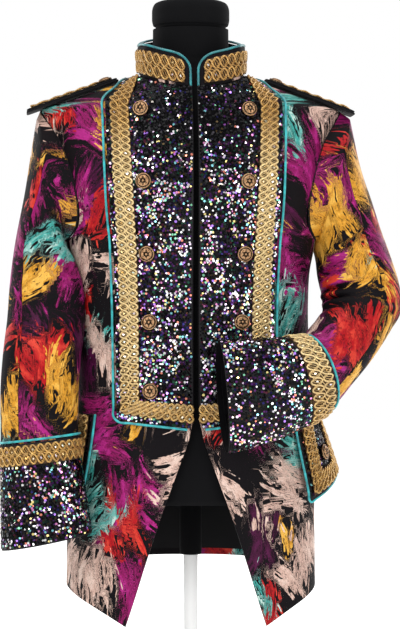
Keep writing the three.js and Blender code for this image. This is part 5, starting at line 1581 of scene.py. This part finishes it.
def addBoard(side):
    name, b = sides[side], shoulderBoard
    for layer, grow, low, raised in (("lower", 0, 0, 0), ("upper", -1.5, b["layer"] + b["between"], 0.3)):
        high = low + b["layer"]
        rings = [(grow - 0.7, low), (grow - 0.15, low + 0.25), (grow, low + 0.8), (grow, high - 0.8),
                 (grow - 0.15, high - 0.25), (grow - 0.8, high), (grow - 8, high + raised)]
        count = len(boardOutline(0))
        points = np.concatenate([np.concatenate([boardOutline(g), np.full((count, 1), z)], 1) for g, z in rings])
        piece = meshObject(f"shoulder_board_{layer}_{name}", onBoard(points, side), stackFaces(count, len(rings)),
                           [looks["board"]], sharp=70)
        finishPiece(piece, "board_cloth", f"board_{layer}_{name}")
    c, top = boardCord, 2 * b["layer"] + b["between"] + 0.3
    parts = Parts()
    upwards = onBoard(np.array([[0, 0, 1.0]]), side) - onBoard(np.array([[0, 0, 0.0]]), side)
    loops = c["length"] / c["pitch"]
    t = np.linspace(0, 1, 220)
    phase = t * loops * math.pi
    for way in (1, -1):
        for shift in (-0.5, 0.5):
            swing = c["swing"] + shift * c["apart"]
            x = c["from"] + t * c["length"]
            y = way * swing * np.sin(phase)
            height = top + c["cord"] + 0.4 + way * 1.2 * np.cos(phase)
            line = onBoard(xyz(x, y, np.maximum(height, top + c["cord"] * 0.85)), side)
            parts.tube(line, upwards, c["cord"] * 0.9, 7, 1)
    cords = parts.build(f"looped_cord_board_{name}", looks["gold"])
    finishPiece(cords, "gold_braid", f"cord_board_{name}")
    seat = onBoard(np.array([[b["buttonAt"], 0, top + 0.1]]), side)
    axis = onBoard(np.array([[b["buttonAt"], 0, top + 1.1]]), side) - seat
    addButton(f"gilt_button_board_{name}", seat[0], axis[0], f"button_board_{name}")


for side in sides:
    addBoard(side)
print("shoulder boards made")


# Limbless dress form in black velvet, and the white stand

formRings = [
    (265.35, 18, 17, 17), (274, 12, 11, 11), (400, 10, 9, 10), (480, 10, 9, 9), (560, 11, 9, 9), (620, 11, 9, 9),
    (680, 11, 9, 9), (740, 12, 9, 9), (800, 17, 8, 8), (845, 23, 7, 7), (866, 24, 6, 6), (874, 9, 6, 6),
    (880, 3.5, 6, 6), (893, 2.8, 6, 6), (907, 3.8, 7, 7), (914, 4.4, 8, 8), (922, 7, 11, 12), (932, 13, 15, 13),
    (945, 15, 15, 11), (994, 15.5, 15.5, 11.5),
]


def addForm():
    ease = columnsOf(formRings, ["side", "front", "back"], key=True)
    foot, neck = formRings[0][0], formRings[-1][0]
    heights = np.concatenate([np.linspace(foot, 274, 8), np.linspace(274, 860, 50), np.linspace(860, neck, 60)])
    heights = np.unique(heights)
    turn, z = np.meshgrid(np.linspace(0, 360, 97)[:-1], heights)
    p = torso(np.where(turn > 180, 360 - turn, turn), z)
    width, inFront = bodyCurve["halfWidth"](z), p[..., 1] < 0
    depth = np.where(inFront, bodyCurve["front"](z), bodyCurve["back"](z))
    room = np.where(inFront, ease["front"](z), ease["back"](z))
    edge = 0.6 * (np.clip((270 - z) / 5, 0, 1)) ** 2
    p[..., 0] *= (width - ease["side"](z) - edge) / width * np.where(turn > 180, -1, 1)
    p[..., 1] *= (depth - room - edge) / depth
    made = meshObject("dress_form", p.reshape(-1, 3), stackFaces(p.shape[1], p.shape[0]), [looks["velvet"]], sharp=55)
    finishPiece(made, "form_cloth", "form_torso")


# A turned piece, from the radii and heights of its profile
def turned(name, profile, material, slot, node, around=96):
    turns = np.arange(around) * math.tau / around
    rings = np.array([xyz(r * np.cos(turns), r * np.sin(turns), z) for r, z in profile])
    made = meshObject(name, rings.reshape(-1, 3), stackFaces(around, len(profile)), [material], sharp=42)
    return finishPiece(made, slot, node)


# A profile with its corners rounded
def rounded(points, radius, steps=4):
    line = []
    for i, (r, z) in enumerate(points):
        if i in (0, len(points) - 1):
            line.append((r, z))
            continue
        p, a, b = np.array([r, z]), np.array(points[i - 1]), np.array(points[i + 1])
        cut = min(radius, np.linalg.norm(a - p) * 0.45, np.linalg.norm(b - p) * 0.45)
        first, last = [p + (end - p) / np.linalg.norm(end - p) * cut for end in (a, b)]
        for t in np.linspace(0, 1, steps):
            line.append(tuple(first * (1 - t) ** 2 + 2 * p * t * (1 - t) + last * t * t))
    return line


# Radius and height along each profile
profiles = {
    "cap": [
        (5, 994.35), (54.5, 994.35), (54.5, 999), (58, 999.6), (60, 1007), (60, 1025), (56.5, 1034), (47, 1037.8),
        (20, 1038.8), (2, 1039),
    ],
    "socket": [(2, 182), (16, 182), (17, 183), (17, 264.9), (2, 264.9)],
    "pole": [(2, 26.4), (11, 26.4), (11, 181.6), (2, 181.6)],
    "foot": [(3, 0), (163, 0), (165, 2), (165, 6), (163, 8), (28, 8), (26, 10), (24, 26), (3, 26)],
}

addForm()
turned("form_cap", rounded(profiles["cap"], 4, 6), looks["velvet"], "form_cloth", "form_neck_cap")
turned("stand_socket_cover", rounded(profiles["socket"], 0.8), looks["velvet"], "form_cloth", "stand_socket", 64)
turned("stand_tube", rounded(profiles["pole"], 0.6), looks["lacquer"], "white_steel", "stand_pole", 64)
turned("stand_plate", rounded(profiles["foot"], 1.6), looks["lacquer"], "white_steel", "stand_foot", 128)
print("dress form and stand made")


# The fronts, backs and lining are finished last, when the trims that lie on them are made

for side, name in sides.items():
    cloth, discs = sequinCloths[name]
    finishCloth(cloth, f"sequin_front_{name}")
    finishCloth(panels[f"front_{name}"], f"front_{name}")
    finishCloth(panels[f"back_{name}"], f"back_{name}")
finishCloth(skirtLining, "lining_back")

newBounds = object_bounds()
asLists = lambda corners: [[float(x) for x in corner] for corner in corners]
{"cad": asLists(cadBounds), "visual": asLists(newBounds)}
